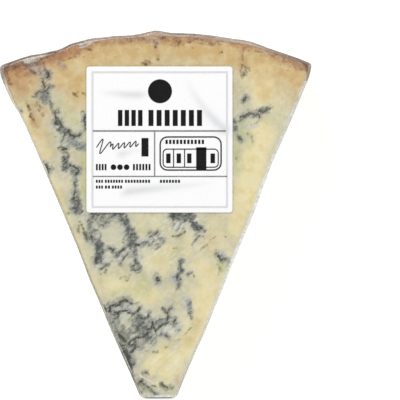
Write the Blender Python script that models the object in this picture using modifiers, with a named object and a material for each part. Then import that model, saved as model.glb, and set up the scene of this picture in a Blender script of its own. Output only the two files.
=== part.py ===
# A wedge of blue cheese sealed in tight clear film, lying on one cut face, with a square
# paper label stuck on the other. Metres, +Z up, the rind towards +Y and the tip towards -Y.
# Run it with: blender --background --python part.py

import math

import bmesh
import bpy
from mathutils import Matrix, Vector, noise

# The wheel that the wedge is cut from, and the cut
WHEEL_RADIUS = 0.1020
SLICE_THICKNESS = 0.0420
WEDGE_ANGLE = math.radians(46.0)
TIP_DISTANCE = 0.0104
WHEEL_CENTRE = Vector((0.0, -0.0566, 0.0))
WHEEL_SIDES = 240

# How far the film rounds each edge
RIND_CORNER_ROUND = 0.0030
TIP_CORNER_ROUND = 0.0018
RIM_ROUND = 0.0014
ROUND_STEPS = 3

# The label, and how it lies on the upper face
LABEL_SIDE = 0.0365
LABEL_THICKNESS = 0.0003
LABEL_CORNER = 0.0007
LABEL_CENTRE = (0.0009, 0.0187)
LABEL_TURN = math.radians(-0.47)
TOUCH_GAP = 0.0003
LABEL_MARGIN = 0.0020

# How finely the surface is made
VOXEL_SIZE = 0.0010
TRIANGLES_KEPT = 0.20
FLAT_BASE = 0.0004

# Relief: depths are how far the surface goes in, widths are half widths
PIT_DEPTH = 0.0006
PIT_SIZE = 0.0075
PIT_SHARE = 0.30
FACE_WAVE = 0.00015
FACE_WAVE_SIZE = 0.012
RIM_CALM = 0.0050
RIM_RELIEF = 0.25
CRUST_DEPTH = 0.0009
CRUST_SIZE = 0.0065
CRUST_REACH = 0.0040
RIND_HUMP = 0.0008
RIND_HUMP_ANGLE = math.radians(0.1)
RIND_HUMP_WIDTH = math.radians(1.5)
RIND_DIP = 0.0008
RIND_DIP_ANGLE = math.radians(-14.9)
RIND_DIP_WIDTH = math.radians(4.0)

# Open veins in the upper face: half width, depth, then their route as X, Y from the wheel's centre
CREVICES = {
    "left_upper": (0.0010, 0.0006, ((-28.0, 90.6), (-26.6, 84.6), (-25.2, 79.6), (-23.0, 76.6))),
    "left_lower": (0.0010, 0.0006, ((-22.8, 75.4), (-22.6, 69.2), (-19.8, 66.4), (-20.2, 57.6))),
    "left_branch": (0.0009, 0.0005, ((-23.0, 76.6), (-20.6, 75.8), (-18.8, 76.0))),
    "ring_left": (0.0013, 0.0006, ((-15.2, 54.6), (-16.4, 49.8), (-14.8, 46.6), (-15.6, 44.4))),
    "ring_right": (0.0012, 0.0006, ((-8.4, 54.8), (-6.8, 50.4), (-6.4, 46.0), (-5.8, 43.0))),
    "ring_foot": (0.0009, 0.0005, ((-11.8, 48.2), (-9.8, 46.2), (-7.2, 48.6))),
    "right_prong": (0.0010, 0.0005, ((3.6, 56.6), (7.8, 54.0), (10.2, 52.4), (11.6, 52.0))),
    "middle": (0.0009, 0.0005, ((6.2, 44.6), (5.2, 41.2), (5.6, 39.4))),
    "right_edge": (0.0006, 0.0005, ((15.2, 46.0), (16.2, 45.0), (18.2, 44.6))),
    "lower_arch": (0.0008, 0.0006, ((-13.6, 33.6), (-9.6, 34.6), (-5.2, 33.2), (-2.2, 31.0))),
    "lower_cross": (0.0009, 0.0006, ((2.8, 32.6), (2.6, 29.4), (-1.6, 27.8), (-4.6, 25.8), (-5.6, 22.8))),
    "lower_left": (0.0009, 0.0006, ((-10.6, 31.0), (-9.6, 26.4), (-7.8, 24.2), (-7.8, 20.6))),
}


def clear_scene():
    for old in list(bpy.data.objects):
        bpy.data.objects.remove(old, do_unlink=True)


def smooth_step(low, high, value):
    t = min(1.0, max(0.0, (value - low) / (high - low)))
    return t * t * (3.0 - 2.0 * t)


def bell(value, centre, width):
    return math.exp(-(((value - centre) / width) ** 2))


def plain_material(name, colour, roughness):
    material = bpy.data.materials.new(name)
    material.use_nodes = True
    shader = material.node_tree.nodes["Principled BSDF"]
    shader.inputs["Base Color"].default_value = (*colour, 1.0)
    shader.inputs["Roughness"].default_value = roughness
    shader.inputs["Metallic"].default_value = 0.0
    return material


def new_part(name, bm, collection, material):
    mesh = bpy.data.meshes.new(name)
    bm.to_mesh(mesh)
    bm.free()
    part = bpy.data.objects.new(name, mesh)
    part.data.materials.append(material)
    collection.objects.link(part)
    return part


def cut_away(bm, point, normal):
    """Removes all that lies on the normal's side of a plane, and closes the cut."""
    geometry = bm.verts[:] + bm.edges[:] + bm.faces[:]
    cut = bmesh.ops.bisect_plane(bm, geom=geometry, plane_co=point, plane_no=normal, clear_outer=True)
    rim = [item for item in cut["geom_cut"] if isinstance(item, bmesh.types.BMEdge)]
    bmesh.ops.edgeloop_fill(bm, edges=rim)


def round_edges(bm, edges, radius):
    bmesh.ops.bevel(bm, geom=edges, offset=radius, segments=ROUND_STEPS, profile=0.5, affect="EDGES")


def corner_edges(bm, at_rind):
    """The upright edges where the cuts meet the rind, or those where they meet the tip."""
    half_way = WHEEL_CENTRE.y + 0.5 * WHEEL_RADIUS
    found = []
    for edge in bm.edges:
        upright = abs(edge.verts[0].co.z - edge.verts[1].co.z) > 0.5 * SLICE_THICKNESS
        turns = edge.calc_face_angle(0.0) > math.radians(20)
        if upright and turns and (edge.verts[0].co.y > half_way) == at_rind:
            found.append(edge)
    return found


def rim_edges(bm):
    return [edge for edge in bm.edges if edge.calc_face_angle(0.0) > math.radians(80)]


def wedge_block():
    """The plain wedge: a disc, cut twice through its middle and once across its tip."""
    bm = bmesh.new()
    place = Matrix.Translation(WHEEL_CENTRE + Vector((0.0, 0.0, 0.5 * SLICE_THICKNESS)))
    bmesh.ops.create_cone(
        bm,
        cap_ends=True,
        segments=WHEEL_SIDES,
        radius1=WHEEL_RADIUS,
        radius2=WHEEL_RADIUS,
        depth=SLICE_THICKNESS,
        matrix=place,
    )
    half = 0.5 * WEDGE_ANGLE
    for side in (-1.0, 1.0):
        cut_away(bm, WHEEL_CENTRE, Vector((side * math.cos(half), -math.sin(half), 0.0)))
    cut_away(bm, WHEEL_CENTRE + Vector((0.0, TIP_DISTANCE, 0.0)), Vector((0.0, -1.0, 0.0)))
    round_edges(bm, corner_edges(bm, True), RIND_CORNER_ROUND)
    round_edges(bm, corner_edges(bm, False), TIP_CORNER_ROUND)
    round_edges(bm, rim_edges(bm), RIM_ROUND)
    bmesh.ops.recalc_face_normals(bm, faces=bm.faces[:])
    return bm


def distance_to_run(x, y, start, end):
    run_x = end[0] - start[0]
    run_y = end[1] - start[1]
    along = ((x - start[0]) * run_x + (y - start[1]) * run_y) / (run_x * run_x + run_y * run_y)
    along = min(1.0, max(0.0, along))
    return math.hypot(x - start[0] - along * run_x, y - start[1] - along * run_y)


def crevice_depth(point):
    """How deep the open veins go in at a point of the upper face."""
    x = 1000.0 * (point.x - WHEEL_CENTRE.x)
    y = 1000.0 * (point.y - WHEEL_CENTRE.y)
    deepest = 0.0
    for width, depth, route in CREVICES.values():
        nearest = min(distance_to_run(x, y, *run) for run in zip(route, route[1:]))
        deepest = max(deepest, depth * bell(0.001 * nearest, 0.0, width))
    return deepest


def pit_depth(point):
    """Irregular pits and broken crumb on the upright cut faces."""
    value = noise.fractal(point / PIT_SIZE, 0.8, 2.0, 3)
    return PIT_DEPTH * smooth_step(PIT_SHARE, PIT_SHARE + 0.35, value)


def crust_depth(point):
    """The crags of the dry rind."""
    value = noise.fractal(point / CRUST_SIZE + Vector((7.0, 3.0, 5.0)), 0.7, 2.1, 3)
    return CRUST_DEPTH * smooth_step(-0.25, 0.75, value)


def rind_swell(angle):
    """How far the rind stands out of a true circle at an angle from the wedge's middle line."""
    hump = RIND_HUMP * bell(angle, RIND_HUMP_ANGLE, RIND_HUMP_WIDTH)
    dip = RIND_DIP * bell(angle, RIND_DIP_ANGLE, RIND_DIP_WIDTH)
    return hump - dip


def label_clearance(point):
    """0 under the label, rising to 1 outside it."""
    reach = 0.5 * LABEL_SIDE
    x = abs(point.x - LABEL_CENTRE[0]) - reach
    y = abs(point.y - LABEL_CENTRE[1]) - reach
    return smooth_step(0.0, LABEL_MARGIN, max(x, y))


def rim_calm(height):
    """1 half way up, falling towards the rims, where the tight film pulls straight."""
    to_rim = min(height, SLICE_THICKNESS - height)
    return RIM_RELIEF + (1.0 - RIM_RELIEF) * smooth_step(0.0, RIM_CALM, to_rim)


def relief_move(point, normal):
    """How far a point of the surface moves along its normal."""
    arm = point - WHEEL_CENTRE
    outwards = Vector((arm.x, arm.y, 0.0))
    radius = outwards.length
    on_rind = smooth_step(WHEEL_RADIUS - CRUST_REACH, WHEEL_RADIUS - 0.4 * CRUST_REACH, radius)
    on_top = smooth_step(0.6, 0.95, normal.z)
    on_side = smooth_step(0.6, 0.95, math.hypot(normal.x, normal.y))
    wave = FACE_WAVE * (1.0 + noise.noise(point / FACE_WAVE_SIZE))
    inwards = on_top * label_clearance(point) * (wave + crevice_depth(point))
    on_side_rim = on_side * rim_calm(point.z)
    inwards += on_side_rim * (1.0 - on_rind) * (wave + pit_depth(point))
    inwards += on_side_rim * on_rind * crust_depth(point)
    swell = on_rind * on_side * rind_swell(math.atan2(arm.x, arm.y))
    return swell - inwards


def apply_relief(mesh):
    moves = []
    for vertex in mesh.vertices:
        moves.append(vertex.normal * relief_move(vertex.co, vertex.normal))
    for vertex, move in zip(mesh.vertices, moves):
        vertex.co += move


def flatten_base(mesh):
    """Presses the underside flat, so that the wedge rests on a plane."""
    for vertex in mesh.vertices:
        if vertex.co.z < FLAT_BASE:
            vertex.co.z = 0.0


def apply_modifiers(part):
    """Replaces the part's mesh by the one that its modifiers make, and removes them."""
    bpy.context.view_layer.update()
    graph = bpy.context.evaluated_depsgraph_get()
    before = part.data
    part.data = bpy.data.meshes.new_from_object(part.evaluated_get(graph), depsgraph=graph)
    part.modifiers.clear()
    bpy.data.meshes.remove(before)
    part.data.name = part.name


def cheese_wedge(collection):
    cheese = plain_material("blue_cheese", (0.62, 0.56, 0.36), 0.45)
    part = new_part("cheese_wedge", wedge_block(), collection, cheese)
    even = part.modifiers.new("even_faces", "REMESH")
    even.mode = "VOXEL"
    even.voxel_size = VOXEL_SIZE
    even.adaptivity = 0.0
    apply_modifiers(part)
    apply_relief(part.data)
    flatten_base(part.data)
    fewer = part.modifiers.new("fewer_faces", "DECIMATE")
    fewer.ratio = TRIANGLES_KEPT
    apply_modifiers(part)
    flatten_base(part.data)
    part.data.shade_smooth()
    return part


def paper_label(collection):
    paper = plain_material("label_paper", (0.95, 0.95, 0.95), 0.6)
    bm = bmesh.new()
    size = Matrix.Diagonal((LABEL_SIDE, LABEL_SIDE, LABEL_THICKNESS, 1.0))
    bmesh.ops.create_cube(bm, size=1.0, matrix=size)
    upright = [e for e in bm.edges if abs(e.verts[0].co.z - e.verts[1].co.z) > 0.5 * LABEL_THICKNESS]
    round_edges(bm, upright, LABEL_CORNER)
    part = new_part("label", bm, collection, paper)
    part.location = (*LABEL_CENTRE, SLICE_THICKNESS + TOUCH_GAP + 0.5 * LABEL_THICKNESS)
    part.rotation_euler = (0.0, 0.0, LABEL_TURN)
    return part


def build():
    clear_scene()
    collection = bpy.data.collections.new("wrapped_cheese_wedge")
    bpy.context.scene.collection.children.link(collection)
    cheese_wedge(collection)
    paper_label(collection)


build()
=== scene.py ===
import math

import bpy
import numpy as np
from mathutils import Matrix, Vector, noise


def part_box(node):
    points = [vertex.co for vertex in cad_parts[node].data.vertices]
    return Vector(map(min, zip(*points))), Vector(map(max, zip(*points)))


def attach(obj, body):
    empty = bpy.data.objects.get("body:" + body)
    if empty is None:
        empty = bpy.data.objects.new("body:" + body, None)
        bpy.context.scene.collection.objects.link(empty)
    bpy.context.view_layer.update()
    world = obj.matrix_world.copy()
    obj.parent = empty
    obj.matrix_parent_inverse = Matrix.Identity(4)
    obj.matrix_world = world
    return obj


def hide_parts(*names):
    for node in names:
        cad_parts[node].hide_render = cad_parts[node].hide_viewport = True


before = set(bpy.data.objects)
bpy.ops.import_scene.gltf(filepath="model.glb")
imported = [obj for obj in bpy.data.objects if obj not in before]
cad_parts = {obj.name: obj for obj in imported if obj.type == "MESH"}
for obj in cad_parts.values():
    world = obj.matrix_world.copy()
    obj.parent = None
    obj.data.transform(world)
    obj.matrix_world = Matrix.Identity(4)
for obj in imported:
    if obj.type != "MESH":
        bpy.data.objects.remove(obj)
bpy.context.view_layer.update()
wedgeLow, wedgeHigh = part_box("cheese_wedge")
labelLow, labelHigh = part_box("label")
print("frame loaded")

mm = 0.001
noise.seed_set(1)  # or else the noise vectors change from run to run

# The wheel that the wedge was cut from. Its centre lies past the tip, on the middle line.
wheel = {
    "centreY": -56.6 * mm,
    "radius": 102.0 * mm,
    "halfAngle": math.radians(23.0),
    "tipDistance": 10.4 * mm,
    # how the rind leaves the true circle: angle and width in degrees, height
    "swells": [
        (0.1, 1.5, 0.7 * mm),
        (-14.9, 4.0, -0.8 * mm),
        (8.0, 6.5, 0.42 * mm),
        (-12.3, 1.8, 0.35 * mm),
        (-18.0, 1.3, 0.2 * mm),
        (-13.5, 1.0, -0.32 * mm),
        (-9.2, 1.3, 0.25 * mm),
        (-3.6, 1.4, -0.2 * mm),
        (13.4, 2.0, 0.42 * mm),
    ],
    "bowReach": 14.0 * mm,
    # how far the long cuts bow in, in mm, by y in the picture
    "bows": {
        "left": ((92, 0.0), (102, 0.08), (115, 0.6), (125, 0.75), (150, 0.8), (205, 0.74), (250, 0.58),
                 (280, 0.18), (300, 0.2), (330, 0.05), (350, 0.1), (380, 0.15)),
        "right": ((120, 0.0), (160, 0.3), (185, 0.1), (210, -0.3), (250, -0.22), (270, -0.1), (290, -0.3),
                  (335, -0.3), (350, -0.1), (370, 0.0)),
    },
}

# How the picture's pixels lie on the upper cut face
picture = {
    "pixel": 0.25 * mm,
    "apexX": 158.5,  # the wheel's centre in the picture
    "apexY": 440.6,
    "turn": math.radians(0.47),  # the wedge leans this far to the left
}


def toObject(x, y):
    u = (x - picture["apexX"]) * picture["pixel"]
    v = (picture["apexY"] - y) * picture["pixel"]
    c, s = math.cos(picture["turn"]), math.sin(picture["turn"])
    return u * c + v * s, v * c - u * s + wheel["centreY"]


def toPicture(points):
    x, y = points[:, 0], points[:, 1] - wheel["centreY"]
    c, s = math.cos(picture["turn"]), math.sin(picture["turn"])
    u, v = x * c - y * s, x * s + y * c
    return picture["apexX"] + u / picture["pixel"], picture["apexY"] - v / picture["pixel"]


def smooth(low, high, value):
    t = np.clip((value - low) / (high - low), 0.0, 1.0)
    return t * t * (3.0 - 2.0 * t)


def bell(value, centre, width):
    return np.exp(-(((value - centre) / width) ** 2))


def valueAt(stops, position):
    # a value given at some places, and evenly in between
    return np.interp(position, *np.array(stops).T)


# Selecting and modifying, as by hand

def selectOnly(piece):
    if bpy.context.mode != "OBJECT":
        bpy.ops.object.mode_set(mode="OBJECT")
    bpy.ops.object.select_all(action="DESELECT")
    piece.select_set(True)
    bpy.context.view_layer.objects.active = piece


def deselectAll():
    if bpy.context.mode != "OBJECT":
        bpy.ops.object.mode_set(mode="OBJECT")
    bpy.ops.object.select_all(action="DESELECT")


def clearSelection(kind):
    bpy.ops.object.mode_set(mode="EDIT")
    bpy.ops.mesh.select_mode(type=kind)
    bpy.ops.mesh.select_all(action="DESELECT")
    bpy.ops.object.mode_set(mode="OBJECT")


def selectEdges(piece, wanted):
    clearSelection("EDGE")
    points = piece.data.vertices
    for edge in piece.data.edges:
        edge.select = bool(wanted(points[edge.vertices[0]].co, points[edge.vertices[1]].co))
    bpy.ops.object.mode_set(mode="EDIT")


def selectFaces(piece, flags):
    clearSelection("FACE")
    piece.data.polygons.foreach_set("select", flags)
    bpy.ops.object.mode_set(mode="EDIT")


def thinUnderside(piece):
    selectFaces(piece, faceCentres(piece)[1][:, 2] < -0.9)
    bpy.ops.mesh.decimate(ratio=0.05)
    bpy.ops.object.mode_set(mode="OBJECT")


def cutFiner(piece, flags):
    selectFaces(piece, flags)
    bpy.ops.mesh.subdivide(number_cuts=1)
    bpy.ops.object.mode_set(mode="OBJECT")


def useModifier(piece, kind, **settings):
    selectOnly(piece)
    modifier = piece.modifiers.new(kind.lower(), kind)
    for key, value in settings.items():
        setattr(modifier, key, value)
    bpy.ops.object.modifier_apply(modifier=modifier.name)


def readPoints(piece, what="co"):
    values = np.empty(len(piece.data.vertices) * 3, np.float32)
    piece.data.vertices.foreach_get(what, values)
    return values.reshape(-1, 3).astype(float)


def writePoints(piece, points):
    piece.data.vertices.foreach_set("co", points.astype(np.float32).ravel())
    piece.data.update()


def faceCentres(piece):
    values = np.empty(len(piece.data.polygons) * 3, np.float32)
    piece.data.polygons.foreach_get("center", values)
    normals = np.empty(len(piece.data.polygons) * 3, np.float32)
    piece.data.polygons.foreach_get("normal", normals)
    return values.reshape(-1, 3), normals.reshape(-1, 3)


def storeMask(piece, name, values):
    mask = piece.data.attributes.new(name, "FLOAT", "POINT")
    mask.data.foreach_set("value", np.clip(values, 0.0, 1.0).astype(np.float32))


def sampleNoise(points, size, seed, kind):
    shift = Vector((seed, 1.7 * seed, 2.3 * seed))
    return np.array([kind(Vector(point) / size + shift) for point in points.tolist()])


def noiseAt(points, size, seed=0.0):
    return sampleNoise(points, size, seed, noise.noise)


def fractalAt(points, size, seed=0.0):
    return sampleNoise(points, size, seed, lambda place: noise.fractal(place, 0.8, 2.1, 3))


def warpAt(points, size, seed=0.0):
    return sampleNoise(points, size, seed, noise.noise_vector)


# A wedge: a disc, cut twice through the wheel's middle and once across the tip, its edges rounded

def cutWedge(name, cut):
    deselectAll()
    height = cut["high"] - cut["low"]
    bpy.ops.mesh.primitive_cylinder_add(
        vertices=240,
        radius=wheel["radius"] - cut["rindInset"],
        depth=height,
        location=(0.0, wheel["centreY"], cut["low"] + height / 2),
    )
    piece = bpy.context.active_object
    piece.name = piece.data.name = name
    bpy.ops.object.transform_apply(location=True, rotation=True, scale=True)
    bpy.ops.object.mode_set(mode="EDIT")
    planes = [(Vector((0.0, -1.0, 0.0)), -wheel["tipDistance"] - cut["tipInset"])]
    for side in (-1.0, 1.0):
        outwards = Vector((side * math.cos(wheel["halfAngle"]), -math.sin(wheel["halfAngle"]), 0.0))
        planes.append((outwards, -cut["sideInset"]))
    for outwards, distance in planes:
        place = Vector((0.0, wheel["centreY"], 0.0)) + distance * outwards
        bpy.ops.mesh.select_all(action="SELECT")
        bpy.ops.mesh.bisect(plane_co=place, plane_no=outwards, use_fill=True, clear_outer=True)
    bpy.ops.object.mode_set(mode="OBJECT")

    points = readPoints(piece)
    widest, lowest = abs(points[:, 0]).max(), points[:, 1].min()
    near = 0.01 * mm

    def rindCorner(a, b):
        return abs(a.z - b.z) > height / 2 and abs(a.x) > widest - near

    def tipCorner(a, b):
        return abs(a.z - b.z) > height / 2 and a.y < lowest + near

    def rim(a, b):
        return abs(a.z - b.z) < near and min(a.z - cut["low"], cut["high"] - a.z) < near

    for wanted, radius in ((rindCorner, cut["rindCorner"]), (tipCorner, cut["tipCorner"]), (rim, cut["rim"])):
        selectEdges(piece, wanted)
        bpy.ops.mesh.bevel(offset=radius, segments=4, profile=0.5, affect="EDGES")
        bpy.ops.object.mode_set(mode="OBJECT")
    useModifier(piece, "REMESH", mode="VOXEL", voxel_size=cut["grain"], adaptivity=0.0)
    return piece


def polar(points):
    # distance from the wheel's middle, and degrees from the wedge's middle line
    x, y = points[:, 0], points[:, 1] - wheel["centreY"]
    return np.hypot(x, y), np.degrees(np.arctan2(x, y))


def awayFromMiddle(points):
    away = np.column_stack((points[:, 0], points[:, 1] - wheel["centreY"], np.zeros(len(points))))
    return away / np.hypot(away[:, 0], away[:, 1])[:, None]


def rindSwell(angle):
    swell = 0.0
    for centre, width, height in wheel["swells"]:
        swell = swell + height * bell(angle, centre, width)
    return swell


def sideDistance(points, side):
    # how far inside one of the two long cuts a point lies
    x, y = points[:, 0], points[:, 1] - wheel["centreY"]
    return -(side * x * math.cos(wheel["halfAngle"]) - y * math.sin(wheel["halfAngle"]))


def bowAt(points, side):
    return valueAt(wheel["bows"]["left" if side < 0.0 else "right"], toPicture(points)[1]) * mm


def bowIn(piece):
    # the long cuts aren't quite straight
    points = readPoints(piece)
    for side in (-1.0, 1.0):
        bow = bowAt(points, side) * smooth(wheel["bowReach"], 0.0, sideDistance(points, side))
        points[:, 0] -= side * math.cos(wheel["halfAngle"]) * bow
        points[:, 1] += math.sin(wheel["halfAngle"]) * bow
    writePoints(piece, points)


# How far the film stands off the cheese, in pixels: along the rind by x, along the cuts by y
standOff = {
    "rind": ((0, 2), (5, 1.4), (14, 1.6), (24, 4), (30, 6), (41, 4.5), (50, 1.6), (60, 1.0), (70, 1.4),
             (80, 4), (90, 5), (100, 3), (125, 3), (140, 4), (152, 6), (161, 6), (172, 4), (200, 4),
             (230, 4.5), (262, 3.5), (300, 2), (315, 2)),
    "left": ((60, 4), (86, 3.4), (100, 2.2), (115, 1.4), (135, 1.0), (345, 1.0), (352, 0.3), (372, 0.3),
             (385, 1.4)),
    "right": ((60, 3), (95, 1.8), (120, 1.0), (254, 1.0), (265, 1.4), (290, 1.4), (310, 1.2), (385, 1.6)),
    "rindReach": 7.0 * mm,  # how far down the rind's face the film stays off
    "blend": 5.0 * mm,  # how far in from the edge the cheese still gives way
}


def gapAlong(which, position):
    return valueAt(standOff[which], position) * picture["pixel"]


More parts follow.
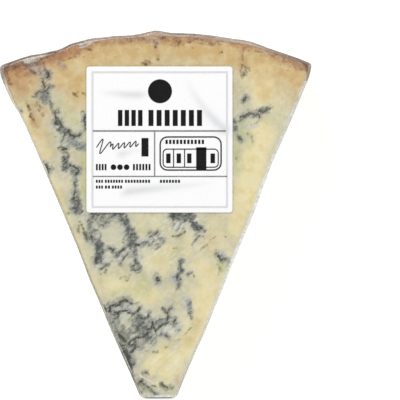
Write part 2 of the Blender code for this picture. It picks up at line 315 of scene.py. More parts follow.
# Veins and stains on the upper face, and white marks that are partly painted highlights of the film: kind,
# half width in pixels, strength, then the route in pixels
veinMap = {
    "leftCorner": [
        ("rust", 3.0, 0.95, [(7, 66.5), (13, 66), (20, 63.5), (27, 66)]),
        ("rust", 2.0, 0.7, [(8, 65), (16, 65), (23, 62.5)]),
        ("rust", 2.4, 0.85, [(6, 71), (9, 68.5), (14, 67.5)]),
        ("rust", 2.6, 0.5, [(12, 69), (20, 68), (26, 69)]),
        ("rust", 1.5, 0.5, [(6, 72), (8, 78), (10, 84)]),
        ("rust", 2.5, 0.85, [(34, 60.5), (41, 59), (48, 56)]),
        ("rust", 1.6, 0.8, [(27, 66), (30, 70), (35, 73)]),
        ("rust", 2.2, 0.8, [(35, 62), (41, 61.5)]),
        ("tan", 4.0, 0.3, [(26, 78), (30, 82)]),
        ("gold", 5.0, 0.6, [(51, 68), (58, 74)]),
        ("green", 5.0, 0.5, [(26, 102), (30, 108)]),
        ("tan", 3.0, 0.3, [(26, 101), (31, 106)]),
        ("tan", 4.0, 0.4, [(34, 114), (38, 119)]),
        ("rust", 1.2, 0.7, [(36, 64.5), (41, 65), (45, 62)]),
        ("rust", 1.2, 0.6, [(42, 72), (46, 69)]),
        ("tan", 8.0, 0.5, [(9, 78), (20, 84), (30, 80)]),
        ("tan", 7.0, 0.25, [(22, 94), (30, 88)]),
        ("amber", 5.5, 0.9, [(42, 62), (54, 57), (66, 54), (76, 51)]),
        ("amber", 3.5, 0.6, [(78, 50), (92, 47)]),
        ("amber", 6.0, 0.85, [(9, 72), (20, 72), (30, 70)]),
        ("amber", 6.0, 0.4, [(13, 82), (24, 90)]),
        ("rust", 1.4, 0.4, [(60, 60.5), (66, 61), (75, 57)]),
        ("rust", 2.0, 0.35, [(54, 53.5), (60, 52), (70, 49)]),
        ("rust", 1.9, 0.95, [(46, 56), (50, 55), (55, 53)]),
        ("gold", 14.0, 0.85, [(32, 86), (56, 76), (74, 78), (78, 92)]),
        ("gold", 6.0, 0.4, [(70, 104), (80, 108)]),
        ("tan", 4.0, 0.5, [(53, 65), (62, 67)]),
        ("gold", 10.5, 0.5, [(36, 119), (40, 132)]),
        ("gold", 9.0, 0.25, [(44, 146), (56, 160)]),
        ("warm", 5.0, 0.9, [(24, 114), (34, 138)]),
        ("warm", 9.0, 0.6, [(34, 136), (46, 165)]),
        ("tan", 6.0, 0.4, [(34, 106), (42, 110)]),
        ("olive", 4.0, 0.35, [(34, 104), (42, 111)]),
        ("bloom", 4.0, 0.25, [(35, 68), (42, 69), (39, 72)]),
        ("blue", 2.0, 0.35, [(31, 72), (36, 74), (42, 74)]),
        ("mauve", 4.5, 0.95, [(34, 67), (42, 69), (46, 73)]),
        ("core", 1.3, 0.7, [(28, 64), (32, 62.5)]),
        ("rust", 1.4, 0.8, [(44, 64), (46, 70)]),
        ("core", 1.5, 1.0, [(48, 72), (49, 75), (47, 78)]),
        ("bloom", 2.2, 0.6, [(40, 76), (46, 77)]),
        ("gold", 9.0, 0.35, [(30, 100), (48, 108), (56, 120)]),
        ("mauve", 2.4, 0.8, [(57, 62), (61, 64), (64, 68)]),
        ("core", 1.1, 0.8, [(42, 78), (42.5, 83), (45, 87)]),
        ("core", 0.9, 0.8, [(47, 90), (49.5, 86)]),
        ("core", 0.8, 0.7, [(52, 87), (53, 86)]),
        ("green", 5.0, 0.7, [(38, 84), (42, 89)]),
        ("blue", 5.5, 0.75, [(42, 95), (45, 98)]),
        ("core", 1.1, 0.75, [(36.5, 95), (39, 92), (46, 91), (48, 94)]),
        ("core", 0.9, 0.6, [(41, 97), (42, 100)]),
        ("slate", 3.2, 0.5, [(42, 95), (45, 99)]),
        ("core", 0.9, 0.6, [(46, 97), (46, 101)]),
        ("olive", 1.2, 0.8, [(32, 96), (34, 97)]),
        ("olive", 1.3, 0.8, [(36, 102), (37, 104)]),
        ("olive", 1.1, 0.8, [(40, 105), (38.5, 110)]),
        ("olive", 1.0, 0.5, [(42, 112), (43, 117)]),
        ("rust", 1.6, 0.9, [(28, 107), (29, 110)]),
        ("mauve", 1.6, 0.7, [(30, 112), (31, 114)]),
        ("rust", 2.8, 0.9, [(31, 116), (33, 118.5)]),
        ("olive", 1.6, 0.9, [(21.5, 110.5)]),
        ("core", 0.8, 0.5, [(21.5, 111)]),
        ("olive", 1.4, 0.5, [(26, 104), (27, 106)]),
        ("tan", 4.0, 0.5, [(32, 121), (37, 124)]),
        ("rust", 1.5, 0.9, [(73, 95), (75, 94)]),
        ("rust", 0.9, 0.6, [(71.5, 93.5), (78, 92)]),
        ("rust", 0.9, 0.6, [(75, 95), (77, 97.5)]),
        ("tan", 4.5, 0.15, [(74, 94), (76, 97)]),
        ("olive", 2.6, 0.7, [(83.5, 94)]),
        ("warm", 3.0, 0.7, [(83, 68), (84.5, 100)]),
    ],
    "leftVein": [
        ("core", 1.0, 0.7, [(50, 101), (52.5, 103)]),
        ("olive", 1.0, 0.8, [(50.5, 104), (51, 109), (53, 113)]),
        ("core", 1.4, 0.8, [(56, 113), (55.5, 119)]),
        ("core", 2.0, 1.0, [(56, 119), (56.2, 123.5)]),
        ("core", 1.0, 0.6, [(58, 110), (58.5, 114)]),
        ("core", 1.4, 0.7, [(58.5, 119), (60.5, 124), (64, 127)]),
        ("blue", 4.2, 1.0, [(58, 124), (61, 129), (66, 132)]),
        ("white", 1.7, 0.9, [(57, 126.5)]),
        ("core", 0.8, 0.5, [(53, 124), (54, 127)]),
        ("core", 1.9, 0.85, [(67.5, 130), (69, 133), (71, 135)]),
        ("core", 1.5, 0.9, [(71, 135), (75, 137), (79, 136), (80.5, 134)]),
        ("blue", 3.0, 0.6, [(69, 132), (76, 138)]),
        ("bloom", 6.0, 0.8, [(75, 141), (83, 146)]),
        ("blue", 4.5, 0.65, [(70, 140), (82, 147)]),
        ("slate", 4.0, 0.5, [(72, 142), (84, 148)]),
        ("blue", 2.5, 0.4, [(73, 141), (76, 144)]),
        ("core", 1.5, 0.8, [(66, 133), (64, 136), (63.5, 138)]),
        ("core", 1.2, 0.7, [(63, 140), (61, 141.5)]),
        ("core", 0.9, 0.7, [(57, 148), (60, 147), (63, 147.5), (66, 148.5)]),
        ("core", 1.4, 0.9, [(62, 150), (64, 150.5), (66.5, 149)]),
        ("blue", 2.4, 0.35, [(60, 142), (61, 148)]),
        ("olive", 1.2, 1.0, [(66, 152), (68.5, 154), (68, 158)]),
        ("core", 1.0, 0.8, [(64.5, 159), (65, 162)]),
        ("blue", 3.6, 1.0, [(65, 159), (65, 168)]),
        ("core", 1.0, 0.7, [(63, 166), (66, 168)]),
        ("core", 1.6, 0.85, [(70, 165.5), (74, 166), (77, 168.5)]),
        ("core", 1.9, 0.8, [(77.5, 169), (77.5, 172), (75.5, 175)]),
        ("blue", 3.0, 0.7, [(73, 168), (75, 176)]),
        ("blue", 1.8, 0.7, [(76, 176), (76.5, 181)]),
        ("core", 1.3, 0.8, [(74, 182), (75, 187), (75, 190)]),
        ("core", 2.2, 0.85, [(75, 191), (76.5, 192.5)]),
        ("core", 1.2, 0.85, [(74, 194), (73.8, 198), (75, 200.5), (77.5, 200)]),
        ("blue", 5.0, 0.9, [(76, 200), (78, 211)]),
        ("blue", 2.2, 0.5, [(72, 208), (76, 213)]),
        ("core", 0.9, 0.7, [(72, 208), (76, 208.5), (79, 206)]),
        ("core", 0.8, 0.6, [(78, 201), (80, 205)]),
        ("core", 0.8, 0.7, [(75, 213), (78, 211), (81, 208.5)]),
        ("core", 0.8, 0.7, [(79, 214.5), (83, 211)]),
        ("blue", 2.0, 0.4, [(82, 215), (84, 215)]),
        ("core", 2.4, 0.9, [(44.5, 165), (46.5, 168), (47, 172)]),
        ("core", 1.6, 0.8, [(46, 165), (50, 168.5)]),
        ("blue", 3.2, 0.7, [(46, 166), (48.5, 170)]),
        ("bloom", 3.6, 0.6, [(50, 162), (56, 159), (61, 158)]),
        ("olive", 2.0, 0.4, [(54, 158)]),
        ("olive", 1.6, 0.4, [(55, 137)]),
        ("olive", 1.8, 0.7, [(68, 213), (70, 213)]),
        ("core", 2.0, 0.8, [(85.5, 116), (85.8, 125)]),
        ("olive", 2.2, 0.6, [(83, 112.5), (84, 115)]),
        ("core", 1.2, 0.5, [(86, 127), (86.5, 130)]),
        ("green", 4.0, 0.8, [(84, 132), (84, 205)]),
        ("tan", 4.0, 0.25, [(74, 152), (80, 164)]),
    ],
    "underLabelLeft": [
        ("blue", 6.6, 0.64, [(94, 216), (104, 218), (114, 215), (122, 218)]),
        ("core", 1.8, 0.75, [(92, 214), (98, 215)]),
        ("core", 3.2, 0.4, [(102, 214), (102.5, 222)]),
        ("core", 1.6, 0.5, [(109, 213), (112, 214)]),
        ("core", 2.0, 0.4, [(117, 214), (125, 213.5)]),
        ("core", 2.2, 0.4, [(117, 219), (123, 221)]),
        ("core", 1.3, 0.8, [(101, 225), (103, 225)]),
        ("core", 1.0, 0.6, [(108, 224), (110, 220)]),
        ("bloom", 3.0, 0.9, [(110, 216), (113, 218)]),
        ("blue", 3.6, 0.55, [(90, 222), (90, 230), (96, 232)]),
        ("core", 0.9, 0.6, [(90, 222), (93, 223)]),
        ("core", 0.9, 0.5, [(92, 228), (96, 230), (96, 234)]),
        ("bloom", 4.0, 0.6, [(85, 217), (87, 226)]),
        ("blue", 3.2, 0.7, [(90, 232), (92.5, 240)]),
        ("core", 1.4, 0.85, [(91, 236), (92.5, 241.5)]),
        ("olive", 2.0, 0.9, [(84, 231), (86, 236), (88, 240)]),
        ("core", 1.0, 0.7, [(85, 234), (86.5, 238)]),
        ("olive", 1.0, 0.7, [(80, 222), (84, 230)]),
        ("olive", 1.4, 0.6, [(78.3, 226), (78.5, 233)]),
        ("bloom", 3.4, 0.8, [(97, 234), (96, 240)]),
        ("olive", 1.0, 0.8, [(100.5, 233), (100.5, 239)]),
        ("blue", 5.0, 1.0, [(98, 244), (100, 250), (98, 260)]),
        ("core", 2.0, 0.5, [(97, 246), (98.5, 250), (97, 257)]),
        ("core", 1.3, 0.7, [(102, 249), (103, 253)]),
        ("core", 2.4, 0.9, [(95.5, 259), (94.5, 262.5)]),
        ("core", 1.3, 0.85, [(101, 260), (102, 263)]),
        ("bloom", 3.0, 0.9, [(94, 268), (99, 266), (104, 260)]),
        ("core", 1.1, 0.8, [(101.5, 269), (104, 267), (107.5, 265)]),
        ("olive", 1.1, 0.8, [(105, 271), (107, 270.5)]),
        ("olive", 0.9, 0.5, [(108, 264.5), (113, 261)]),
        ("olive", 1.2, 0.4, [(101, 273), (109, 273)]),
    ],
    "ring": [
        ("blue", 3.6, 0.9, [(125, 221), (128, 230), (131, 238), (131, 247)]),
        ("blue", 5.0, 0.8, [(130, 231), (134, 240), (132, 247)]),
        ("core", 1.7, 0.5, [(122, 219), (126, 226), (128.5, 231)]),
        ("core", 1.5, 0.5, [(131, 233), (130.5, 242), (129, 246)]),
        ("core", 1.2, 0.85, [(127, 248), (123, 250), (119.5, 252.5)]),
        ("blue", 2.6, 0.7, [(119, 252), (116, 256)]),
        ("core", 1.2, 0.8, [(116, 252), (117, 257)]),
        ("core", 1.2, 0.85, [(113, 251), (108.5, 248.5)]),
        ("olive", 1.0, 0.5, [(101, 241), (105, 245), (108, 247.5)]),
        ("pale", 8.0, 0.6, [(110, 233), (117, 238)]),
        ("olive", 1.7, 0.55, [(124, 239), (123.5, 242)]),
        ("core", 1.5, 0.8, [(134, 244), (138.5, 245)]),
        ("blue", 3.0, 0.65, [(133, 248), (136, 256), (137, 265)]),
        ("core", 1.3, 0.6, [(133, 251), (135.5, 257), (136, 263)]),
        ("core", 1.9, 1.0, [(133.3, 265.5)]),
        ("core", 0.9, 0.8, [(133, 270), (136, 271.5), (140, 270), (139.5, 267)]),
        ("white", 1.2, 0.9, [(132.5, 248.5)]),
        ("core", 0.9, 0.85, [(128, 254), (124.5, 257), (122, 260)]),
        ("core", 1.2, 0.9, [(120.8, 263)]),
        ("white", 1.3, 0.6, [(119, 259), (123, 254), (128, 250)]),
        ("bloom", 2.4, 0.6, [(119, 259), (117, 262)]),
        ("bloom", 5.0, 0.7, [(139, 250), (141, 258)]),
        ("bloom", 4.0, 0.7, [(105, 252), (108, 256)]),
    ],
    "softVein": [
        ("bloom", 5.5, 0.9, [(143, 243), (152, 240), (160, 238)]),
        ("blue", 3.0, 0.6, [(140, 245), (147, 244)]),
        ("core", 1.4, 0.7, [(149.5, 237.5), (154, 235.5), (157, 232.5)]),
        ("blue", 3.0, 0.5, [(150, 234), (158, 231)]),
        ("core", 0.9, 0.65, [(151, 245.5), (153.5, 241)]),
        ("core", 1.4, 0.65, [(156, 247), (157, 245)]),
        ("core", 1.1, 0.6, [(160.5, 239.5), (163, 239)]),
        ("core", 1.1, 0.6, [(160.5, 245), (163.5, 243)]),
        # these white strokes are painted glints of the film
        ("white", 1.3, 0.8, [(155, 237.5), (157, 238)]),
        ("white", 1.0, 0.8, [(153, 250), (157, 246)]),
        ("white", 1.0, 0.75, [(154, 255), (160, 249)]),
        ("white", 1.0, 0.7, [(162, 255), (166, 251)]),
        ("white", 1.0, 0.7, [(144, 249), (148, 245)]),
        ("white", 1.0, 0.7, [(160, 236), (164, 233)]),
        ("olive", 2.2, 0.5, [(126, 276), (127, 280)]),
        ("olive", 1.2, 0.5, [(130, 275)]),
        ("olive", 1.4, 0.35, [(120, 278.5), (123, 277)]),
        ("core", 1.9, 1.0, [(157, 278), (158, 280.5)]),
        ("blue", 3.0, 0.5, [(156, 275), (158, 280)]),
        ("bloom", 2.4, 0.6, [(156, 283), (153, 285)]),
        ("core", 0.8, 0.5, [(156, 282.5)]),
    ],
    "underLabelRight": [
        ("blue", 5.0, 1.0, [(174, 215), (184, 216), (191, 217)]),
        ("core", 2.4, 0.8, [(173, 213), (173, 218)]),
        ("core", 1.3, 0.7, [(173.5, 218), (174, 225)]),
        ("core", 2.4, 0.5, [(179, 215), (188, 216)]),
        ("core", 1.6, 0.8, [(190, 216), (188, 221)]),
        ("core", 1.2, 0.8, [(184, 221.5), (190, 222), (194, 224)]),
        ("bloom", 3.2, 1.0, [(179, 222), (176, 229)]),
        ("white", 1.1, 0.8, [(184, 224), (179, 231)]),
        ("white", 1.1, 0.75, [(178, 223), (174, 229)]),
        ("white", 1.0, 0.75, [(189, 220), (186, 223)]),
        ("white", 1.2, 0.8, [(194.5, 221.5), (198, 219)]),
        ("blue", 3.8, 0.9, [(194, 224.5), (199, 229)]),
        ("core", 1.4, 0.6, [(195, 226), (198, 230)]),
        ("core", 1.4, 0.9, [(200.5, 228), (203, 230)]),
        ("rust", 1.2, 0.9, [(205, 231.3)]),
        ("blue", 1.6, 0.6, [(197, 231), (196, 235)]),
        ("core", 0.8, 0.5, [(181, 225), (183, 224)]),
        ("core", 0.8, 0.5, [(177, 230), (183, 229)]),
        ("olive", 1.1, 1.0, [(173, 236.5), (176, 236), (179, 235.5)]),
        ("olive", 1.2, 1.0, [(180, 235), (182.5, 233.5), (184.5, 232)]),
        ("core", 0.7, 0.5, [(175, 236.2), (182, 234)]),
        ("olive", 0.7, 0.7, [(173, 249), (178, 248)]),
        ("blue", 1.0, 0.8, [(192.5, 245), (195, 241), (197, 239), (199, 236)]),
        ("olive", 1.0, 0.5, [(200, 250), (204, 247), (211, 240), (215, 237)]),
        ("olive", 2.2, 0.4, [(203, 238)]),
        ("green", 4.0, 0.35, [(179, 246), (178, 254)]),
        ("blue", 3.2, 0.75, [(182, 262), (180, 268), (181, 272)]),
        ("core", 1.3, 0.7, [(182, 261), (180, 266), (181.5, 270)]),
        ("white", 1.3, 0.7, [(184, 265.5)]),
        ("core", 1.5, 0.8, [(179.5, 272), (177, 275), (177, 279)]),
        ("core", 1.2, 0.9, [(181, 279)]),
        ("bloom", 3.2, 0.7, [(172, 279.5), (176, 281)]),
        ("slate", 3.0, 0.7, [(173, 279), (177, 276)]),
        ("core", 1.1, 0.7, [(179, 282), (178, 287)]),
        ("blue", 2.4, 0.6, [(178, 276), (179, 285)]),
        ("core", 0.8, 0.7, [(188, 274.5), (191, 273)]),
        ("olive", 1.1, 0.9, [(194, 275), (195.5, 276.5)]),
        ("core", 1.3, 0.8, [(216.5, 253), (219, 256)]),
        ("core", 1.4, 0.95, [(219, 256), (221, 259.5)]),
        ("core", 1.1, 0.8, [(221, 260), (225.5, 258.5)]),
        ("bloom", 3.4, 0.8, [(222, 252), (224, 256)]),
        ("core", 1.5, 1.0, [(229.3, 261.5)]),
        ("olive", 3.0, 0.5, [(223, 263), (228, 264)]),
        ("olive", 1.2, 0.4, [(226, 237)]),
        ("olive", 1.6, 0.3, [(161, 265)]),
        ("olive", 1.2, 0.35, [(167.5, 273)]),
    ],
    "lowerLeft": [
        ("core", 1.7, 0.9, [(103, 307), (105, 310), (105, 312)]),
        ("core", 1.3, 0.9, [(109.8, 306), (110, 312)]),
        ("core", 1.2, 0.8, [(105, 311.5), (110, 311)]),
        ("blue", 3.0, 0.7, [(104, 309), (110, 310)]),
        ("olive", 1.4, 0.7, [(107, 305), (112, 303)]),
        ("core", 1.6, 0.85, [(112, 305.5), (118, 305.5), (121, 303.5)]),
        ("core", 2.6, 0.9, [(120.5, 302.5), (125, 300.5), (127.5, 301.5)]),
        ("core", 1.4, 0.85, [(127, 301.5), (130, 303), (132, 304)]),
        ("olive", 1.0, 0.5, [(134, 303.5), (139, 302.5)]),
        ("blue", 2.4, 0.5, [(118, 299), (126, 298)]),
        ("bloom", 4.2, 1.0, [(114, 308.5), (124, 307), (131, 308)]),
        ("white", 1.6, 0.45, [(126, 308), (132, 307)]),
        ("blue", 5.0, 0.4, [(112, 305), (122, 304)]),
        ("core", 1.3, 0.9, [(114, 311), (118, 313), (121, 311), (126, 311)]),
        ("core", 1.0, 0.8, [(126, 311.5), (130, 313.5), (133, 314.5)]),
        ("core", 1.0, 0.85, [(133, 314.5), (136.5, 312), (138.5, 309)]),
        ("core", 1.7, 0.9, [(138, 311), (139.5, 308.5)]),
        ("pale", 5.0, 0.7, [(123, 316), (130, 318)]),
        ("blue", 4.0, 0.6, [(115, 314), (116, 320)]),
        ("core", 0.9, 0.75, [(113, 314.5), (118, 314)]),
        ("core", 0.9, 0.75, [(113, 319), (118, 318)]),
        ("core", 0.8, 0.6, [(118, 313), (118.5, 320)]),
        ("core", 1.2, 0.85, [(115.5, 324)]),
        ("core", 1.0, 0.8, [(115, 328)]),
        ("olive", 1.2, 0.7, [(128, 321), (131, 318)]),
        ("bloom", 4.0, 0.6, [(113, 322), (117, 330), (122, 330)]),
        ("core", 2.4, 0.85, [(119.5, 335), (122, 338), (125.5, 341)]),
        ("olive", 2.8, 0.9, [(120, 336), (126, 341), (127, 345)]),
        ("pale", 3.0, 0.8, [(125, 333), (132, 337)]),
        ("tan", 2.2, 0.5, [(125, 327)]),
        ("blue", 2.6, 0.5, [(130, 330), (132, 333)]),
        ("bloom", 3.6, 0.9, [(122, 343), (125, 348)]),
        ("core", 1.2, 0.8, [(128, 344.5), (131, 341), (134, 340)]),
        ("core", 1.2, 0.8, [(129, 345), (132.5, 344), (136, 342)]),
        ("blue", 4.0, 0.8, [(130, 346), (133, 348)]),
        ("core", 1.3, 0.85, [(136, 345), (135, 349), (132, 352)]),
        ("core", 1.7, 0.9, [(134, 339.5), (138, 337.5), (141, 337.3)]),
        ("core", 1.6, 0.95, [(141, 337.3), (144.5, 337), (146.5, 334), (147, 331.5)]),
        ("core", 4.6, 1.0, [(125, 353), (127.5, 357)]),
        ("core", 3.0, 0.9, [(122, 350), (127, 362), (130, 370)]),
        ("core", 2.2, 0.9, [(127, 359), (130.5, 365), (130.5, 369)]),
        ("blue", 4.0, 0.8, [(131, 354), (132, 362)]),
        ("bloom", 3.0, 0.6, [(134, 366), (136, 373)]),
    ],
    "lowerFill": [
        ("blue", 4.0, 0.35, [(108, 309), (114, 316)]),
        ("slate", 2.2, 0.6, [(105, 314), (112, 330), (121, 350)]),
        ("blue", 5.0, 0.55, [(114, 320), (117, 329), (126, 336), (133, 345)]),
        ("blue", 5.0, 0.6, [(113, 315), (119, 327), (122, 333)]),
        ("core", 1.3, 0.5, [(113, 321), (116, 328), (118.5, 334)]),
        ("blue", 6.0, 0.5, [(140, 318), (146, 336), (140, 344)]),
        ("olive", 3.6, 0.5, [(122, 330), (128, 342)]),
        ("olive", 3.0, 0.4, [(138, 326), (144, 338)]),
        ("green", 6.0, 0.5, [(116, 295), (136, 291)]),
        ("green", 6.0, 0.35, [(188, 342), (197, 322)]),
        ("gold", 6.0, 0.25, [(188, 342), (197, 322)]),
        ("blue", 3.0, 0.4, [(112, 246), (114, 252)]),
        ("core", 3.4, 0.8, [(122, 346), (126, 352), (129, 360)]),
        ("core", 1.8, 1.0, [(128, 364), (131, 373)]),
        ("core", 1.5, 1.0, [(127, 363), (130, 372)]),
        ("blue", 3.6, 0.6, [(124, 352), (129, 366), (132, 374)]),
        ("blue", 5.0, 0.5, [(126, 224), (130, 240), (132, 252)]),
        ("core", 1.0, 0.45, [(125, 222), (129, 230), (130, 240)]),
        ("olive", 1.4, 0.5, [(46, 74), (43, 80), (45, 87), (44, 93), (48, 100), (52, 107), (55, 114)]),
        ("blue", 1.6, 0.35, [(46, 74), (43, 80), (45, 87), (44, 93), (48, 100), (52, 107), (55, 114)]),
    ],
    "lowerCross": [
        ("blue", 8.5, 0.85, [(140, 322), (142, 329), (143, 332)]),
        ("blue", 4.0, 0.6, [(148, 318), (152, 325)]),
        ("core", 1.1, 0.8, [(138, 315), (141, 318), (144, 318.5)]),
        ("core", 1.2, 0.85, [(144, 318.3), (147.5, 316.5), (148, 313.5)]),
        ("white", 1.3, 0.85, [(145, 315.5)]),
        ("core", 1.0, 0.5, [(139, 312.5), (141, 315)]),
        ("core", 1.7, 0.95, [(147.5, 328.7), (151, 329)]),
        ("core", 1.5, 0.9, [(151.5, 328), (153, 326), (152.5, 321)]),
        ("core", 1.0, 0.6, [(148, 322), (151, 323)]),
        ("core", 1.6, 0.9, [(153, 326), (155.5, 330)]),
        ("core", 1.4, 0.9, [(156, 330), (160, 326.5), (164, 325)]),
        ("core", 1.6, 0.9, [(164, 325), (167, 322), (167.5, 317)]),
        ("core", 1.5, 0.9, [(167.5, 317), (168, 311.5), (170.5, 308.5)]),
        ("core", 1.1, 0.7, [(170.5, 308.5), (172, 307.5)]),
        ("core", 0.9, 0.7, [(159, 318), (163, 320)]),
        ("blue", 4.4, 0.75, [(156, 322), (163, 322)]),
        ("olive", 1.6, 0.9, [(162.5, 309), (166, 312)]),
        ("core", 0.9, 0.6, [(163.5, 309.5), (166.5, 313)]),
        ("bloom", 4.0, 0.7, [(170, 303), (174, 314), (172, 318)]),
        ("core", 1.5, 0.85, [(172, 325), (174.5, 323), (175.2, 320)]),
        ("bloom", 6.5, 1.0, [(160, 331), (168, 331), (176, 327)]),
        ("white", 2.6, 0.6, [(164, 328), (171, 327)]),
        ("white", 2.0, 0.6, [(169, 333), (176, 330)]),
        ("core", 0.9, 0.75, [(155, 331), (157, 335.5)]),
        ("core", 1.1, 0.8, [(161.5, 334.5)]),
        ("core", 1.5, 0.85, [(166.5, 336), (168, 337)]),
        ("blue", 1.0, 0.8, [(175, 330.5), (179, 330)]),
        ("blue", 4.4, 0.7, [(149, 334), (151, 340)]),
        ("core", 1.6, 0.85, [(147, 338.5), (146.5, 341)]),
        ("blue", 2.6, 0.5, [(155, 338), (154, 343)]),
        ("olive", 1.6, 0.3, [(150, 347)]),
        ("olive", 1.5, 0.7, [(153.5, 352.5), (158, 352)]),
        ("olive", 1.2, 0.35, [(145, 351), (148, 350.5)]),
        ("olive", 2.6, 0.3, [(163, 348), (168, 346)]),
        ("blue", 2.4, 0.45, [(189, 302), (190, 308), (190, 313)]),
        ("slate", 2.8, 0.9, [(188, 301), (190, 308), (190.5, 314)]),
        ("olive", 1.6, 0.8, [(190.5, 315), (191.5, 318)]),
        ("core", 0.9, 0.5, [(190, 314), (191, 318)]),
        ("bloom", 5.0, 0.6, [(184, 298), (187, 306)]),
        ("olive", 0.8, 0.45, [(177, 341), (182, 338), (186, 333), (191, 328)]),
        ("olive", 1.2, 0.25, [(172, 305), (176, 290)]),
    ],
    "tip": [
        # the first white stroke is a painted highlight along the film's crease at the tip
        ("white", 0.9, 1.0, [(141, 376), (147, 380), (152, 382.3), (157, 384)]),
        ("core", 1.4, 0.85, [(145.2, 373)]),
        ("olive", 2.4, 0.5, [(143, 372), (147, 374)]),
        ("tan", 3.0, 0.35, [(138, 379), (141, 383)]),
        ("core", 1.8, 0.9, [(139.5, 382), (143, 381.5), (144, 384)]),
        ("olive", 3.0, 0.7, [(138, 384), (144, 387)]),
        ("core", 1.1, 0.75, [(229, 261), (230, 262)]),
        ("olive", 3.0, 0.45, [(219, 266), (221, 271), (219, 275)]),
        ("green", 5.0, 0.5, [(220, 265), (224, 269)]),
        ("core", 1.0, 0.85, [(147, 386.5), (151, 390), (154, 393.5), (157, 396.5)]),
        ("olive", 1.6, 0.4, [(148, 388), (156, 396)]),
        ("bloom", 3.0, 0.5, [(146, 393), (156, 391), (166, 393)]),
        ("olive", 0.9, 0.9, [(152, 385), (157.5, 387.3)]),
        ("core", 1.2, 0.75, [(162, 384.5), (165, 387), (168, 389)]),
        ("olive", 2.2, 0.8, [(161, 384), (167, 388)]),
        ("core", 1.0, 0.7, [(171, 387.5)]),
        ("olive", 1.6, 0.7, [(171, 388)]),
        ("core", 1.5, 0.8, [(141, 392)]),
        ("blue", 3.0, 0.2, [(142, 390), (150, 394)]),
        ("green", 6.0, 0.5, [(162, 392), (172, 393)]),
        ("warm", 8.0, 0.8, [(150, 368), (163, 354)]),
        ("white", 2.0, 0.66, [(151, 365), (162, 355)]),
        ("warm", 8.0, 0.8, [(166, 372), (180, 357)]),
        ("white", 2.0, 0.66, [(167, 370), (179, 358)]),
        ("olive", 1.6, 0.35, [(155, 377)]),
        ("tan", 3.0, 0.35, [(177, 378), (178, 384)]),
    ],
    "rightSide": [
        ("rust", 1.0, 0.6, [(245, 47), (243.5, 53), (242, 57)]),
        ("rust", 1.3, 0.75, [(243.5, 60)]),
        ("rust", 1.1, 0.8, [(243, 65), (242, 68)]),
        ("rust", 0.9, 0.6, [(241, 70), (240.5, 76)]),
        ("olive", 0.9, 0.85, [(242, 78), (242.5, 74), (246, 70)]),
        ("olive", 0.9, 0.75, [(244, 66), (247, 68), (249, 71)]),
        ("olive", 0.8, 0.65, [(243.5, 76), (247, 72), (249, 68)]),
        ("bloom", 2.0, 0.6, [(244, 71), (246, 75)]),
        ("rust", 0.9, 0.4, [(247, 46), (250, 55)]),
        ("tan", 5.5, 0.4, [(243, 52), (243, 70)]),
        ("tan", 4.0, 0.4, [(245, 48), (256, 50)]),
        ("rust", 1.6, 0.35, [(250, 48), (262, 53)]),
        ("core", 1.6, 0.95, [(243.3, 101.5), (245.5, 98)]),
        ("bloom", 3.2, 0.5, [(242, 103), (246, 97)]),
        ("core", 1.5, 0.8, [(240, 117), (240.5, 120)]),
        ("core", 2.0, 0.75, [(242.5, 116), (247, 114.5), (251, 113)]),
        ("core", 1.7, 0.7, [(251, 113), (256, 114.5)]),
        ("core", 1.4, 0.8, [(258.5, 114), (259.5, 118)]),
        ("core", 1.8, 0.65, [(260, 111.5), (264, 111), (270, 108.5)]),
        ("blue", 3.6, 0.6, [(243, 116), (256, 113), (268, 109)]),
        ("white", 1.3, 0.7, [(255, 118)]),
        ("mauve", 0.8, 0.6, [(251, 125.5), (255, 124), (259, 121)]),
        ("blue", 2.2, 0.6, [(234, 119), (235, 131)]),
        ("core", 1.0, 0.5, [(235, 124), (234.5, 130)]),
        ("core", 1.7, 0.6, [(238, 137), (241.5, 140)]),
        ("blue", 2.6, 0.5, [(236, 135), (243, 141)]),
        ("olive", 1.3, 0.6, [(247, 133.5)]),
        ("blue", 0.9, 0.5, [(252, 137), (252.5, 142)]),
        ("green", 8.0, 0.8, [(241, 124), (247, 140)]),
        ("bloom", 4.0, 0.5, [(243, 128), (256, 124)]),
        ("green", 5.0, 0.6, [(237, 148), (240, 168)]),
        ("olive", 1.6, 0.4, [(234, 152), (237, 160)]),
    ],
    "rindBand": [
        ("rust", 1.4, 0.6, [(83, 48), (91, 49)]),
        ("amber", 3.0, 0.5, [(101, 43), (108, 43)]),
        ("amber", 3.0, 0.45, [(120, 42), (130, 42)]),
        ("amber", 3.0, 0.5, [(170, 43), (182, 43)]),
        ("amber", 3.0, 0.3, [(244, 47), (252, 49)]),
        ("gold", 8.0, 0.5, [(262, 76), (264, 96)]),
        ("amber", 3.0, 0.5, [(160, 40), (168, 42)]),
        ("rust", 1.6, 0.5, [(139, 40), (144, 39.5)]),
        ("mauve", 4.0, 0.5, [(150, 40), (158, 41), (156, 45)]),
        ("rust", 1.5, 0.8, [(160, 37.5), (164, 38)]),
        ("rust", 1.8, 0.8, [(155, 41.5), (157, 44)]),
        ("rust", 1.4, 1.0, [(155.5, 47)]),
        ("tan", 2.4, 0.5, [(156, 46), (156.5, 52), (158, 60)]),
        ("rust", 1.0, 0.8, [(158, 59.5)]),
        ("olive", 1.2, 0.7, [(157.5, 59.5)]),
        ("rust", 1.6, 0.55, [(170, 41), (175, 41.5), (180, 42)]),
        ("rust", 1.4, 0.35, [(171, 45), (176, 46), (184, 44)]),
        ("rust", 1.2, 0.5, [(128, 40), (134, 40.5)]),
        ("rust", 1.0, 0.5, [(196, 43), (204, 44), (213, 45)]),
        ("olive", 1.2, 0.7, [(184.5, 47)]),
        ("rust", 1.1, 0.6, [(188, 41.5), (191, 41.5)]),
        ("rust", 1.1, 0.6, [(198, 40), (202, 40.5)]),
        ("rust", 4.2, 0.75, [(146, 63.5)]),
        ("tan", 3.0, 0.6, [(142, 62), (150, 65)]),
        ("rust", 1.2, 0.8, [(222, 52)]),
        ("tan", 2.4, 0.6, [(221, 53.5)]),
